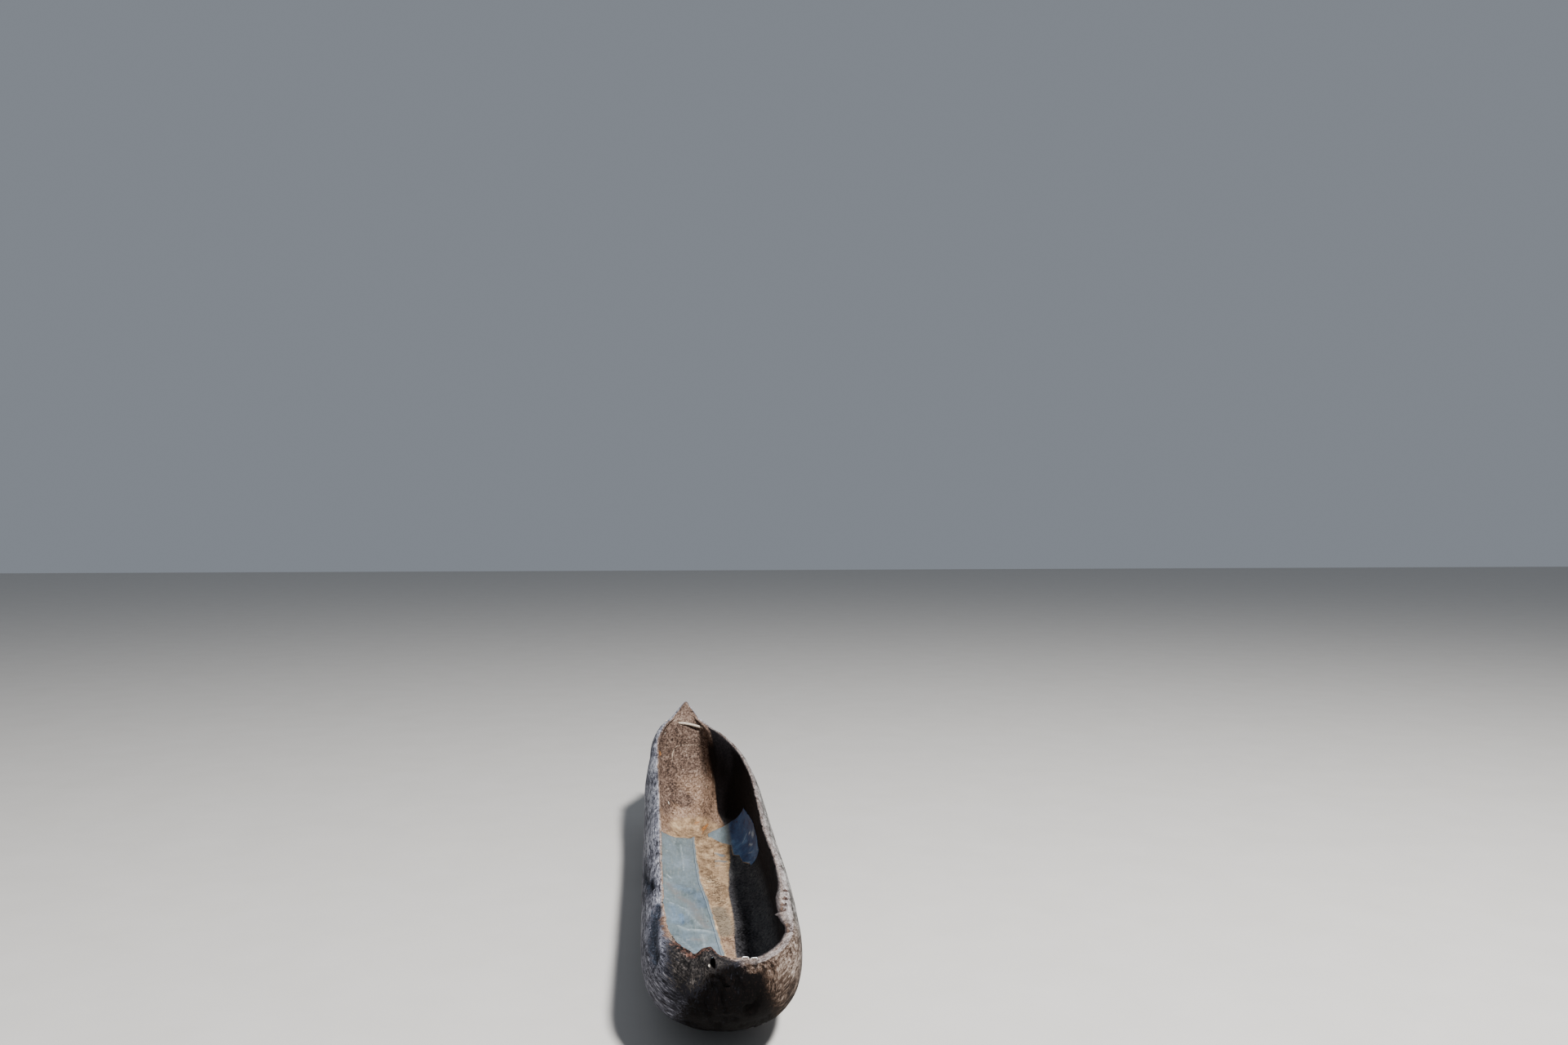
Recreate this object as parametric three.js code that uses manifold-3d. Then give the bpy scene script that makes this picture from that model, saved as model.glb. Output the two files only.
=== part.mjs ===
// Dugout canoe: one hollowed log with a mooring peg at the bow and two sheet-metal patches inside.
// Millimetres, +Z up, bow towards +Y, port side towards -X.
// Lengths along the canoe are counted from the aftmost point of the stern.
import * as THREE from 'three';
import { mergeVertices } from 'three/addons/utils/BufferGeometryUtils.js';
import Module from 'manifold-3d';

const wasm = await Module();
wasm.setup();

// Hull sizes
const FLOOR_THICKNESS = 62;
const WALL_AT_BELLY = 46;
const RIM_INNER_DROP = 4;
const BELLY_INNER_SHARE = 0.95;
const WORN_FLAT_DEPTH = 4;
const TUMBLEHOME_ANGLE = THREE.MathUtils.degToRad(68);

// The hull's sections, from stern to bow. Half-breadths are counted from the crooked centre line.
const COLUMNS = [
  'share', 'crook', 'rimPort', 'rimStarboard', 'sheerPort', 'sheerStarboard',
  'bellyPort', 'bellyStarboard', 'bellyHeight', 'lipPort', 'lipStarboard',
];
const SECTIONS = [
  [0.000, 0, 220, 208, 402, 402, 285, 252, 335, 28, 28],
  [0.004, 0, 222, 211, 438, 391, 286, 253, 333, 30, 27],
  [0.015, 0, 226, 216, 411, 396, 288, 255, 330, 36, 25],
  [0.050, 0, 232, 225, 405, 403, 292, 258, 320, 40, 25],
  [0.070, 0, 234, 230, 409, 408, 294, 261, 314, 36, 31],
  [0.100, 0, 235, 233, 415, 415, 296, 267, 305, 32, 54],
  [0.140, 0, 237, 240, 420, 422, 300, 275, 295, 26, 54],
  [0.200, 0, 237, 252, 425, 425, 303, 288, 280, 24, 34],
  [0.300, 0, 238, 256, 430, 430, 304, 303, 268, 22, 26],
  [0.420, 0, 238, 252, 432, 434, 304, 312, 260, 22, 24],
  [0.550, 0, 238, 262, 445, 447, 304, 316, 262, 20, 22],
  [0.680, 0, 240, 268, 470, 470, 302, 318, 280, 20, 20],
  [0.800, -4, 238, 248, 508, 508, 300, 300, 320, 20, 20],
  [0.860, -14, 232, 216, 543, 540, 290, 285, 365, 20, 20],
  [0.900, -42, 196, 190, 576, 576, 274, 268, 400, 21, 20],
  [0.940, -68, 135, 136, 624, 620, 285, 262, 450, 22, 21],
  [0.970, -66, 88, 90, 654, 652, 290, 262, 500, 22, 22],
  [1.000, -55, 84, 84, 710, 710, 290, 262, 560, 22, 22],
];

// Six rings run round the hull. Each spans its own length and closes round at both ends.
const RINGS = {
  rim: { aft: 55, fore: 3665, sternShare: 0.11, bowShare: 0.78, bowPower: 4.0, bowRound: 1.5 },
  belly: { aft: 0, fore: 3590, sternShare: 0.14, bowShare: 0.74, bowPower: 3.2, bowRound: 1.5 },
  keel: { aft: 800, fore: 2700 },
  rimInner: { aft: 110, fore: 3622, sternShare: 0.10, bowShare: 0.78, bowPower: 4.0, bowRound: 1.5 },
  bellyInner: { aft: 110, fore: 3440, sternShare: 0.12, bowShare: 0.66, bowPower: 2.8, bowRound: 3.2 },
  keelInner: { aft: 580, fore: 2920 },
};
const STERN_POWER = 2.4;

// How square the bilge is: [share, power] of the superellipse, 2 being an ellipse
const BILGE_OUTER = [[0, 2.0], [0.25, 2.8], [0.5, 3.2], [0.75, 2.6], [1, 2.0]];
const BILGE_INNER = [[0, 2.2], [0.25, 3.6], [0.5, 4.0], [0.75, 3.2], [1, 2.0]];

// Mesh of the hull
const STATION_COUNT = 44;
const END_CROWDING = 1.7;
const BILGE_STEPS = 9;
const SIDE_STEPS = 4;
const WELD_TOLERANCE = 1e-3;

// Mooring peg, driven through both walls under the bow's tip
const PEG_PORT_END = new THREE.Vector3(-186, 3502, 609);
const PEG_STARBOARD_END = new THREE.Vector3(80, 3399, 575);
const PEG_RADIUS_PORT = 8.5;
const PEG_RADIUS_STARBOARD = 7.5;
const PEG_SIDES = 12;
const PEG_CLEARANCE = 0.3;

// Mooring hole, chopped through the stern below the crest
const HOLE_CENTRE = new THREE.Vector3(-67, 90, 397);
const HOLE_WIDTH = 20;
const HOLE_HEIGHT = 40;
const HOLE_SIDES = 16;
const HOLE_CUT_LENGTH = 260;

// Sheet-metal patches nailed to the inside
const SHEET_THICKNESS = 1.2;
const SHEET_GAP = 0.4;
const PORT_PATCH = {
  outline: [
    [-330, 2752], [-204, 2750], [-26, 2872], [-34, 2560], [-31, 2190],
    [-16, 1670], [6, 1200], [26, 1030], [30, 560], [-330, 560],
  ],
  top: 255,
};
const STARBOARD_PATCH = {
  outline: [
    [46, 2879], [105, 2889], [170, 2856], [243, 2756], [330, 2640],
    [330, 2150], [250, 2190], [140, 2240], [52, 2262], [60, 2560],
  ],
  top: 262,
};

const WOOD = { color: 0x8b8379, roughness: 0.92, metalness: 0 };
const PEG_WOOD = { color: 0xcfc0a6, roughness: 0.8, metalness: 0 };
const SHEET_METAL = { color: 0x8fa3a6, roughness: 0.45, metalness: 0.8 };

// A monotone cubic through [place, value] knots, which never swings past them
function curveThrough(places, values) {
  const slopes = places.slice(1).map((p, i) => (values[i + 1] - values[i]) / (p - places[i]));
  const tangents = values.map((_, i) => {
    if (i === 0 || i === values.length - 1) return slopes[Math.max(0, i - 1)];
    if (slopes[i - 1] * slopes[i] <= 0) return 0;
    return 2 / (1 / slopes[i - 1] + 1 / slopes[i]);
  });
  return (place) => {
    let i = 0;
    while (i < places.length - 2 && place > places[i + 1]) i += 1;
    const width = places[i + 1] - places[i];
    const t = (place - places[i]) / width;
    const rise = (1 - t) ** 2 * (1 + 2 * t) * values[i] + t * t * (3 - 2 * t) * values[i + 1];
    const lean = (1 - t) ** 2 * t * tangents[i] - t * t * (1 - t) * tangents[i + 1];
    return rise + width * lean;
  };
}

const shares = SECTIONS.map((row) => row[0]);
const section = Object.fromEntries(
  COLUMNS.map((name, column) => [name, curveThrough(shares, SECTIONS.map((row) => row[column]))]),
);
const bilgeOuter = curveThrough(BILGE_OUTER.map((k) => k[0]), BILGE_OUTER.map((k) => k[1]));
const bilgeInner = curveThrough(BILGE_INNER.map((k) => k[0]), BILGE_INNER.map((k) => k[1]));

// The share of its full half-breadth that a ring keeps as it closes at the stern and the bow
function closing(ring, share) {
  const aft = THREE.MathUtils.clamp(1 - share / ring.sternShare, 0, 1);
  const fore = THREE.MathUtils.clamp((share - ring.bowShare) / (1 - ring.bowShare), 0, 1);
  const stern = (1 - aft ** STERN_POWER) ** (1 / STERN_POWER);
  const bow = (1 - fore ** ring.bowPower) ** (1 / ring.bowRound);
  return stern * bow;
}

// A point of one ring: side is -1 to port and 1 to starboard
function ringPoint(name, share, side) {
  const ring = RINGS[name];
  const y = ring.aft + (ring.fore - ring.aft) * share;
  if (name === 'keel') return new THREE.Vector3(0, y, 0);
  if (name === 'keelInner') return new THREE.Vector3(0, y, FLOOR_THICKNESS);
  const of = (column) => section[column + (side < 0 ? 'Port' : 'Starboard')](share);
  const shapes = {
    rim: [of('rim'), of('sheer')],
    belly: [of('belly'), section.bellyHeight(share)],
    rimInner: [of('rim') - of('lip'), of('sheer') - RIM_INNER_DROP],
    bellyInner: [of('belly') - WALL_AT_BELLY, section.bellyHeight(share) * BELLY_INNER_SHARE],
  };
  const [half, z] = shapes[name];
  return new THREE.Vector3(section.crook(share) + side * half * closing(ring, share), y, z);
}

// One rib's points from keel to rim: a superellipse quarter to the belly, then an arc that leans in
function rib(share, side, [keelName, bellyName, rimName], bilge, flatHeight) {
  const keel = ringPoint(keelName, share, side);
  const belly = ringPoint(bellyName, share, side);
  const rim = ringPoint(rimName, share, side);
  const points = [];
  const step = (from, to, along, up) => {
    const z = from.z + (to.z - from.z) * up;
    const point = from.clone().lerp(to, along).setZ(Math.max(z - WORN_FLAT_DEPTH, flatHeight));
    points.push(point);
  };
  for (let i = 0; i <= BILGE_STEPS; i += 1) {
    const angle = (i / BILGE_STEPS) * (Math.PI / 2);
    const power = 2 / bilge(share);
    step(keel, belly, Math.sin(angle) ** power, 1 - Math.max(Math.cos(angle), 0) ** power);
  }
  for (let i = 1; i <= SIDE_STEPS; i += 1) {
    const angle = (i / SIDE_STEPS) * TUMBLEHOME_ANGLE;
    const along = (1 - Math.cos(angle)) / (1 - Math.cos(TUMBLEHOME_ANGLE));
    step(belly, rim, along, Math.sin(angle) / Math.sin(TUMBLEHOME_ANGLE));
  }
  return points;
}

function outerRib(share, side) {
  return rib(share, side, ['keel', 'belly', 'rim'], bilgeOuter, 0);
}

function innerRib(share, side) {
  return rib(share, side, ['keelInner', 'bellyInner', 'rimInner'], bilgeInner, FLOOR_THICKNESS);
}

// Stations crowd towards both ends, where the log rounds off
const stations = Array.from({ length: STATION_COUNT + 1 }, (_, i) => {
  const aft = (i / STATION_COUNT) ** END_CROWDING;
  const fore = (1 - i / STATION_COUNT) ** END_CROWDING;
  return aft / (aft + fore);
});

// Two triangles for each cell of a grid of points, wound the other way if flipped
function addGrid(triangles, grid, flipped) {
  for (let i = 0; i < grid.length - 1; i += 1) {
    for (let j = 0; j < grid[i].length - 1; j += 1) {
      const [a, b, c, d] = [grid[i][j], grid[i + 1][j], grid[i + 1][j + 1], grid[i][j + 1]];
      for (const t of [[a, b, c], [a, c, d]]) triangles.push(flipped ? [t[0], t[2], t[1]] : t);
    }
  }
}

// Loose triangles made one indexed geometry, with the empty ones dropped
function weld(triangles) {
  const geometry = new THREE.BufferGeometry();
  const numbers = triangles.flatMap((t) => t.flatMap((p) => [p.x, p.y, p.z]));
  geometry.setAttribute('position', new THREE.Float32BufferAttribute(numbers, 3));
  return dropEmpty(mergeVertices(geometry, WELD_TOLERANCE));
}

function dropEmpty(geometry) {
  const old = geometry.getIndex().array;
  const kept = [];
  for (let i = 0; i < old.length; i += 3) {
    const [a, b, c] = [old[i], old[i + 1], old[i + 2]];
    if (a !== b && b !== c && c !== a) kept.push(a, b, c);
  }
  geometry.setIndex(kept);
  return geometry;
}

function toSolid(geometry) {
  const bare = geometry.clone();
  bare.deleteAttribute('normal');
  bare.deleteAttribute('uv');
  const merged = dropEmpty(mergeVertices(bare, WELD_TOLERANCE));
  const vertProperties = new Float32Array(merged.getAttribute('position').array);
  const triVerts = new Uint32Array(merged.getIndex().array);
  return new wasm.Manifold(new wasm.Mesh({ numProp: 3, vertProperties, triVerts }));
}

function toGeometry(solid) {
  const { vertProperties, triVerts } = solid.getMesh();
  const geometry = new THREE.BufferGeometry();
  geometry.setAttribute('position', new THREE.Float32BufferAttribute(vertProperties, 3));
  geometry.setIndex(Array.from(triVerts));
  geometry.computeVertexNormals();
  return geometry;
}

// The hollowed log: outer skin, rim and inner skin of both sides, welded along the centre line
function hullBlank() {
  const triangles = [];
  for (const side of [-1, 1]) {
    const grid = stations.map((share) => [...outerRib(share, side), ...innerRib(share, side).reverse()]);
    addGrid(triangles, grid, side < 0);
  }
  return toSolid(weld(triangles));
}

// A round stick between two points, tapered
function stick(from, to, radiusFrom, radiusTo, sides) {
  const geometry = new THREE.CylinderGeometry(radiusTo, radiusFrom, from.distanceTo(to), sides);
  const turn = new THREE.Quaternion().setFromUnitVectors(
    new THREE.Vector3(0, 1, 0),
    to.clone().sub(from).normalize(),
  );
  geometry.applyQuaternion(turn);
  geometry.translate(...from.clone().lerp(to, 0.5).toArray());
  return geometry;
}

// The peg, or the cutter of its two holes when it is made thicker by their clearance
function mooringPeg(extra) {
  return stick(
    PEG_PORT_END, PEG_STARBOARD_END, PEG_RADIUS_PORT + extra, PEG_RADIUS_STARBOARD + extra, PEG_SIDES,
  );
}

function mooringHole() {
  const cutter = new THREE.CylinderGeometry(HOLE_WIDTH / 2, HOLE_WIDTH / 2, HOLE_CUT_LENGTH, HOLE_SIDES);
  cutter.scale(1, 1, HOLE_HEIGHT / HOLE_WIDTH);
  cutter.translate(...HOLE_CENTRE.toArray());
  return cutter;
}

// A thin skin that follows the inner surface at a small gap, over the whole inside
function sheetSkin() {
  const port = stations.map((share) => innerRib(share, -1).reverse());
  const starboard = stations.map((share) => innerRib(share, 1));
  const grid = port.map((row, i) => [...row, ...starboard[i].slice(1)]);
  const triangles = [];
  addGrid(triangles, grid, true);
  const surface = weld(triangles);
  surface.computeVertexNormals();
  const position = surface.getAttribute('position');
  const normal = surface.getAttribute('normal');
  const index = surface.getIndex().array;
  const at = (i, distance) => new THREE.Vector3().fromBufferAttribute(position, i)
    .addScaledVector(new THREE.Vector3().fromBufferAttribute(normal, i), distance);
  const near = SHEET_GAP;
  const far = SHEET_GAP + SHEET_THICKNESS;
  const solid = [];
  const edges = new Map();
  for (let i = 0; i < index.length; i += 3) {
    const [a, b, c] = [index[i], index[i + 1], index[i + 2]];
    solid.push([at(a, far), at(b, far), at(c, far)], [at(a, near), at(c, near), at(b, near)]);
    for (const [p, q] of [[a, b], [b, c], [c, a]]) {
      if (edges.has(`${q}_${p}`)) edges.delete(`${q}_${p}`);
      else edges.set(`${p}_${q}`, [p, q]);
    }
  }
  for (const [p, q] of edges.values()) {
    solid.push([at(p, near), at(q, near), at(q, far)], [at(p, near), at(q, far), at(p, far)]);
  }
  return toSolid(weld(solid));
}

// A patch is the part of the skin that stands over its outline and below its top edge
function patch(skin, { outline, top }) {
  const shape = new THREE.Shape(outline.map(([x, y]) => new THREE.Vector2(x, y)));
  const block = new THREE.ExtrudeGeometry(shape, { depth: top, bevelEnabled: false, steps: 1 });
  return toGeometry(skin.intersect(toSolid(block)));
}

function named(name, geometry, finish) {
  const mesh = new THREE.Mesh(geometry, new THREE.MeshStandardMaterial(finish));
  mesh.name = name;
  return mesh;
}

const hull = hullBlank().subtract(toSolid(mooringPeg(PEG_CLEARANCE))).subtract(toSolid(mooringHole()));
const skin = sheetSkin();

const canoe = new THREE.Group();
canoe.add(
  named('hull', toGeometry(hull), WOOD),
  named('mooring_peg', mooringPeg(0), PEG_WOOD),
  named('port_patch', patch(skin, PORT_PATCH), SHEET_METAL),
  named('starboard_patch', patch(skin, STARBOARD_PATCH), SHEET_METAL),
);

// The origin is the middle of the bounding box, at its bottom
const box = new THREE.Box3().setFromObject(canoe);
canoe.position.set(-(box.min.x + box.max.x) / 2, -(box.min.y + box.max.y) / 2, -box.min.z);
canoe.updateMatrixWorld(true);

export default canoe;
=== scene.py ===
import bpy
import numpy as np
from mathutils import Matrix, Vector


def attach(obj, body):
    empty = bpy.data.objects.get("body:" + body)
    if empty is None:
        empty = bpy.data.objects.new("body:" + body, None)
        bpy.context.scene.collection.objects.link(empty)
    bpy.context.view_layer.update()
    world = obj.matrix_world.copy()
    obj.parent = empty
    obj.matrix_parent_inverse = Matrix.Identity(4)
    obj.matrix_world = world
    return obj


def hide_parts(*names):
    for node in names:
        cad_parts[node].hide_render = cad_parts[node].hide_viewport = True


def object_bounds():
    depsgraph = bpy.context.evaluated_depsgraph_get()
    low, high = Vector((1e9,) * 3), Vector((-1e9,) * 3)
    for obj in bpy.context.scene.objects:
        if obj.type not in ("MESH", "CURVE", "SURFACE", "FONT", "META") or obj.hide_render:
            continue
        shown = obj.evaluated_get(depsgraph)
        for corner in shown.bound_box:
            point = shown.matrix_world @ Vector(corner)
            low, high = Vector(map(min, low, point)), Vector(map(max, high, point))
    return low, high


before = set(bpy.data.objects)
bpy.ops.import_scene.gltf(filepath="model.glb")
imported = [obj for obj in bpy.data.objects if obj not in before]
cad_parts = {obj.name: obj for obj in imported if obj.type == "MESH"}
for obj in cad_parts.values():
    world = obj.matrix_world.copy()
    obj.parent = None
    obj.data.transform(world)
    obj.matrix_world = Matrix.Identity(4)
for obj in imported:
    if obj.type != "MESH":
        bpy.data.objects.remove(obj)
cad_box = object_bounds()


# The hull: one log of hardwood, hollowed by hand and long out in the weather. Its wood is bare, silver-grey
# outside, brown and adze-marked inside, charred at the stern's crest and rotten under its chin. Shade is
# painted into its colour on the port side, the crest, the chin, the gouges and the starboard half of the
# hollow. It is one closed skin over the sections of the CAD hull, and weather, gouges and chips are cut
# inwards from them.
ORIGIN = np.array([0.0069376, 1.8325, 0.0])
FLOOR_THICKNESS = 0.062
WALL_AT_BELLY = 0.046
RIM_INNER_DROP = 0.004
BELLY_INNER_SHARE = 0.95
WORN_FLAT_DEPTH = 0.004
TUMBLEHOME = np.radians(68)
STERN_POWER = 2.4
COLUMNS = (
    "share crook rim_port rim_starboard sheer_port sheer_starboard "
    "belly_port belly_starboard belly_height lip_port lip_starboard"
).split()
SECTIONS = np.array([
    [0.000, 0, 220, 208, 402, 402, 285, 252, 335, 28, 28],
    [0.004, 0, 222, 211, 438, 391, 286, 253, 333, 30, 27],
    [0.015, 0, 226, 216, 411, 396, 288, 255, 330, 36, 25],
    [0.050, 0, 232, 225, 405, 403, 292, 258, 320, 40, 25],
    [0.070, 0, 234, 230, 409, 408, 294, 261, 314, 36, 31],
    [0.100, 0, 235, 233, 415, 415, 296, 267, 305, 32, 54],
    [0.140, 0, 237, 240, 420, 422, 300, 275, 295, 26, 54],
    [0.200, 0, 237, 252, 425, 425, 303, 288, 280, 24, 34],
    [0.300, 0, 238, 256, 430, 430, 304, 303, 268, 22, 26],
    [0.420, 0, 238, 252, 432, 434, 304, 312, 260, 22, 24],
    [0.550, 0, 238, 262, 445, 447, 304, 316, 262, 20, 22],
    [0.680, 0, 240, 268, 470, 470, 302, 318, 280, 20, 20],
    [0.800, -4, 238, 248, 508, 508, 300, 300, 320, 20, 20],
    [0.860, -14, 232, 216, 543, 540, 290, 285, 365, 20, 20],
    [0.900, -42, 196, 190, 576, 576, 274, 268, 400, 21, 20],
    [0.940, -68, 135, 136, 624, 620, 285, 262, 450, 22, 21],
    [0.970, -66, 88, 90, 654, 652, 290, 262, 500, 22, 22],
    [1.000, -55, 84, 84, 710, 710, 290, 262, 560, 22, 22],
])
# Each ring: its y at the stern and bow, its share of length that rounds off at each end, and the bow's powers
RINGS = {
    "rim": (0.055, 3.665, 0.11, 0.78, 4.0, 1.5),
    "belly": (0.0, 3.590, 0.14, 0.74, 3.2, 1.5),
    "rim_inner": (0.110, 3.622, 0.10, 0.78, 4.0, 1.5),
    "belly_inner": (0.110, 3.440, 0.12, 0.66, 2.8, 3.2),
}
KEEL = (0.800, 2.700)
KEEL_INNER = (0.580, 2.920)
BILGE_OUTER = np.array([[0, 2.0], [0.25, 2.8], [0.5, 3.2], [0.75, 2.6], [1, 2.0]])
BILGE_INNER = np.array([[0, 2.2], [0.25, 3.6], [0.5, 4.0], [0.75, 3.2], [1, 2.0]])
STATIONS = 520
END_CROWDING = 1.9
OUTER_STEPS = 44
RIM_STEPS = 5
INNER_STEPS = 41
BELLY_TURN = 0.70
CORNER_WEAR = (0.5, 0.4)
CORNER_REACH = 3
WEAR_PASSES = 3


def curve_through(places, values):
    """A monotone cubic through the knots: Hermite pieces, whose slope at a knot is the harmonic mean of the
    slopes on its two sides."""
    slopes = np.diff(values) / np.diff(places)
    before, after = slopes[:-1], slopes[1:]
    same_way = before * after > 0
    mean = np.where(same_way, 2 * before * after / np.where(same_way, before + after, 1), 0)
    tangents = np.concatenate([slopes[:1], mean, slopes[-1:]])

    def value(place):
        i = np.clip(np.searchsorted(places, place) - 1, 0, len(places) - 2)
        width = places[i + 1] - places[i]
        t = (place - places[i]) / width
        rise = (1 - t) ** 2 * (1 + 2 * t) * values[i] + t * t * (3 - 2 * t) * values[i + 1]
        lean = (1 - t) ** 2 * t * tangents[i] - t * t * (1 - t) * tangents[i + 1]
        return rise + width * lean

    return value


section = {
    name: curve_through(SECTIONS[:, 0], SECTIONS[:, column] / 1000)
    for column, name in enumerate(COLUMNS)
    if column
}
bilge_outer = curve_through(BILGE_OUTER[:, 0], BILGE_OUTER[:, 1])
bilge_inner = curve_through(BILGE_INNER[:, 0], BILGE_INNER[:, 1])


def ring_line(name, share, side):
    """A ring's x, y, z: its half-breadth keeps a superellipse quarter's share at the stern and a power
    curve's share at the bow, and is set off to its side of the crooked centre line."""
    aft, fore, stern_share, bow_share, bow_power, bow_round = RINGS[name]
    ending = "port" if side < 0 else "starboard"
    stern = np.clip(1 - share / stern_share, 0, 1)
    bow = np.clip((share - bow_share) / (1 - bow_share), 0, 1)
    kept = (1 - stern ** STERN_POWER) ** (1 / STERN_POWER) * (1 - bow ** bow_power) ** (1 / bow_round)
    rim, belly = section[f"rim_{ending}"](share), section[f"belly_{ending}"](share)
    sheer, height = section[f"sheer_{ending}"](share), section["belly_height"](share)
    half, z = {
        "rim": (rim, sheer),
        "belly": (belly, height),
        "rim_inner": (rim - section[f"lip_{ending}"](share), sheer - RIM_INNER_DROP),
        "belly_inner": (belly - WALL_AT_BELLY, height * BELLY_INNER_SHARE),
    }[name]
    return section["crook"](share) + side * half * kept, aft + (fore - aft) * share, z


def side_skin(share, turn, side, inner):
    """One side of the outer or inner skin, stations by turns. A turn goes from 0 at the keel to 1 at the
    rim: a superellipse quarter up to the belly, then an arc that leans in to the rim. The bottom is worn
    flat."""
    keel = KEEL_INNER if inner else KEEL
    flat = FLOOR_THICKNESS if inner else 0.0
    keel_y = (keel[0] + (keel[1] - keel[0]) * share)[:, None]
    belly = [c[:, None] for c in ring_line("belly_inner" if inner else "belly", share, side)]
    rim = [c[:, None] for c in ring_line("rim_inner" if inner else "rim", share, side)]
    power = (bilge_inner if inner else bilge_outer)(share)[:, None]
    low = np.clip(turn / BELLY_TURN, 0, 1)[None] * np.pi / 2
    reach = (np.sin(low) ** power + np.cos(low) ** power) ** (1 / power)
    along, up = np.sin(low) / reach, 1 - np.cos(low) / reach
    high = np.clip((turn - BELLY_TURN) / (1 - BELLY_TURN), 0, 1)[None] * TUMBLEHOME
    lean = (1 - np.cos(high)) / (1 - np.cos(TUMBLEHOME))
    rise = np.sin(high) / np.sin(TUMBLEHOME)
    x = belly[0] * along + (rim[0] - belly[0]) * lean
    y = keel_y + (belly[1] - keel_y) * along + (rim[1] - belly[1]) * lean
    z = flat + (belly[2] - flat) * up + (rim[2] - belly[2]) * rise
    return np.stack([x, y, np.maximum(z - WORN_FLAT_DEPTH, flat)], -1)


def smooth_step(value, low, high):
    """0 below low, 1 above high and the cubic 3t² - 2t³ in between, also where low is above high."""
    t = np.clip((value - low) / (high - low), 0, 1)
    return t * t * (3 - 2 * t)


def hashed(corner, seed):
    """A well mixed whole number below 2^32 for each corner of a lattice."""
    key = (corner * (73856093, 19349663, 83492791)).sum(-1) + seed * 2654435761
    key = (key ^ (key >> 15)) * 2246822519 & 0xFFFFFFFF
    return (key ^ (key >> 13)) * 3266489917 & 0xFFFFFFFF


def lattice_noise(points, cell, seed, octaves=1):
    """Noise from 0 to 1: hashed numbers at the corners of a lattice, blended by smooth steps. Each further
    octave halves the cell and adds half as much."""
    total, weight = np.zeros(points.shape[:-1]), 0.0
    for octave in range(octaves):
        place = points * 2 ** octave / np.array(cell) + 1000
        corner = np.floor(place).astype(np.int64)
        blend = place - corner
        blend = blend * blend * (3 - 2 * blend)
        for step in np.ndindex(2, 2, 2):
            share = np.where(step, blend, 1 - blend).prod(-1)
            total += share * (hashed(corner + step, seed + octave) >> 8 & 0xFFFF) / 0xFFFF / 2 ** octave
        weight += 0.5 ** octave
    return total / weight


def chopped_facets(points, cell, seed):
    """The marks of an adze: each point takes the tilt of the nearest of one jittered centre per cell, which
    gives flat facets that meet in low ridges. From about -1 to 1."""
    place = points / np.array(cell) + 1000
    corner = np.floor(place).astype(np.int64)
    nearest = np.full(points.shape[:-1], 9.0)
    height = np.zeros(points.shape[:-1])
    for step in np.ndindex(3, 3, 3):
        around = corner + np.array(step) - 1
        key = hashed(around, seed)
        jitter = np.stack([key & 0xFF, key >> 8 & 0xFF, key >> 16 & 0xFF], -1) / 255
        away = place - around - jitter
        distance = (away ** 2).sum(-1)
        tilt = (away * (jitter[..., ::-1] * 2 - 1)).sum(-1)
        height = np.where(distance < nearest, tilt, height)
        nearest = np.minimum(nearest, distance)
    return height


def near_line(points, line, width):
    """1 on a line through the given points and less away from it, as exp(-(distance / width)²)."""
    closest = np.full(points.shape[:-1], 9.0)
    for start, end in zip(np.array(line[:-1]), np.array(line[1:])):
        t = np.clip(((points - start) @ (end - start)) / ((end - start) @ (end - start)), 0, 1)
        closest = np.minimum(closest, np.linalg.norm(points - start - t[..., None] * (end - start), axis=-1))
    return np.exp(-((closest / width) ** 2))


# The closed loop of a station: up the port outside, over the rim, down inside, and up and over to starboard
count = np.arange(STATIONS + 1) / STATIONS
share = count ** END_CROWDING / (count ** END_CROWDING + (1 - count) ** END_CROWDING)
outer_turn = np.linspace(0, 1, OUTER_STEPS + 1)
inner_turn = np.linspace(0, 1, INNER_STEPS + 1)
rim_step = np.linspace(0, 1, RIM_STEPS + 1)[1:-1]
half_loops = []
for side in (-1, 1):
    outer = side_skin(share, outer_turn, side, False)
    inner = side_skin(share, inner_turn, side, True)
    across = outer[:, -1:] + (inner[:, -1:] - outer[:, -1:]) * rim_step[None, :, None]
    half_loops.append(np.concatenate([outer, across, inner[:, ::-1]], 1))
loop = np.concatenate([half_loops[0], half_loops[1][:, -2:0:-1]], 1)
half_count = OUTER_STEPS + RIM_STEPS + INNER_STEPS
column = np.arange(2 * half_count)
from_keel = np.where(column <= half_count, column, 2 * half_count - column)
inside = smooth_step(from_keel, OUTER_STEPS + 1, OUTER_STEPS + RIM_STEPS)[None] + 0 * share[:, None]
on_rim = 1 - smooth_step(np.abs(from_keel - OUTER_STEPS - RIM_STEPS / 2), RIM_STEPS / 2, RIM_STEPS / 2 + 2)
on_rim = on_rim[None] + 0 * share[:, None]
port = (column < half_count)[None] + 0 * share[:, None]

# Worn round: the rim's two corners are drawn to the mean of their neighbours round the loop
corner_wear = sum(
    (1 - smooth_step(np.abs(from_keel - corner), 0, CORNER_REACH)) * wear
    for corner, wear in zip((OUTER_STEPS, OUTER_STEPS + RIM_STEPS), CORNER_WEAR)
)
for _ in range(WEAR_PASSES):
    mean = (np.roll(loop, 1, 1) + np.roll(loop, -1, 1)) / 2
    loop = loop + (mean - loop) * corner_wear[None, :, None]

along_hull = np.gradient(loop, axis=0)
round_hull = np.roll(loop, -1, 1) - np.roll(loop, 1, 1)
normal = np.cross(round_hull, along_hull)
normal /= np.linalg.norm(normal, axis=-1, keepdims=True) + 1e-15
x, y, z = loop[..., 0], loop[..., 1], loop[..., 2]
outside = 1 - inside
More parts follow.
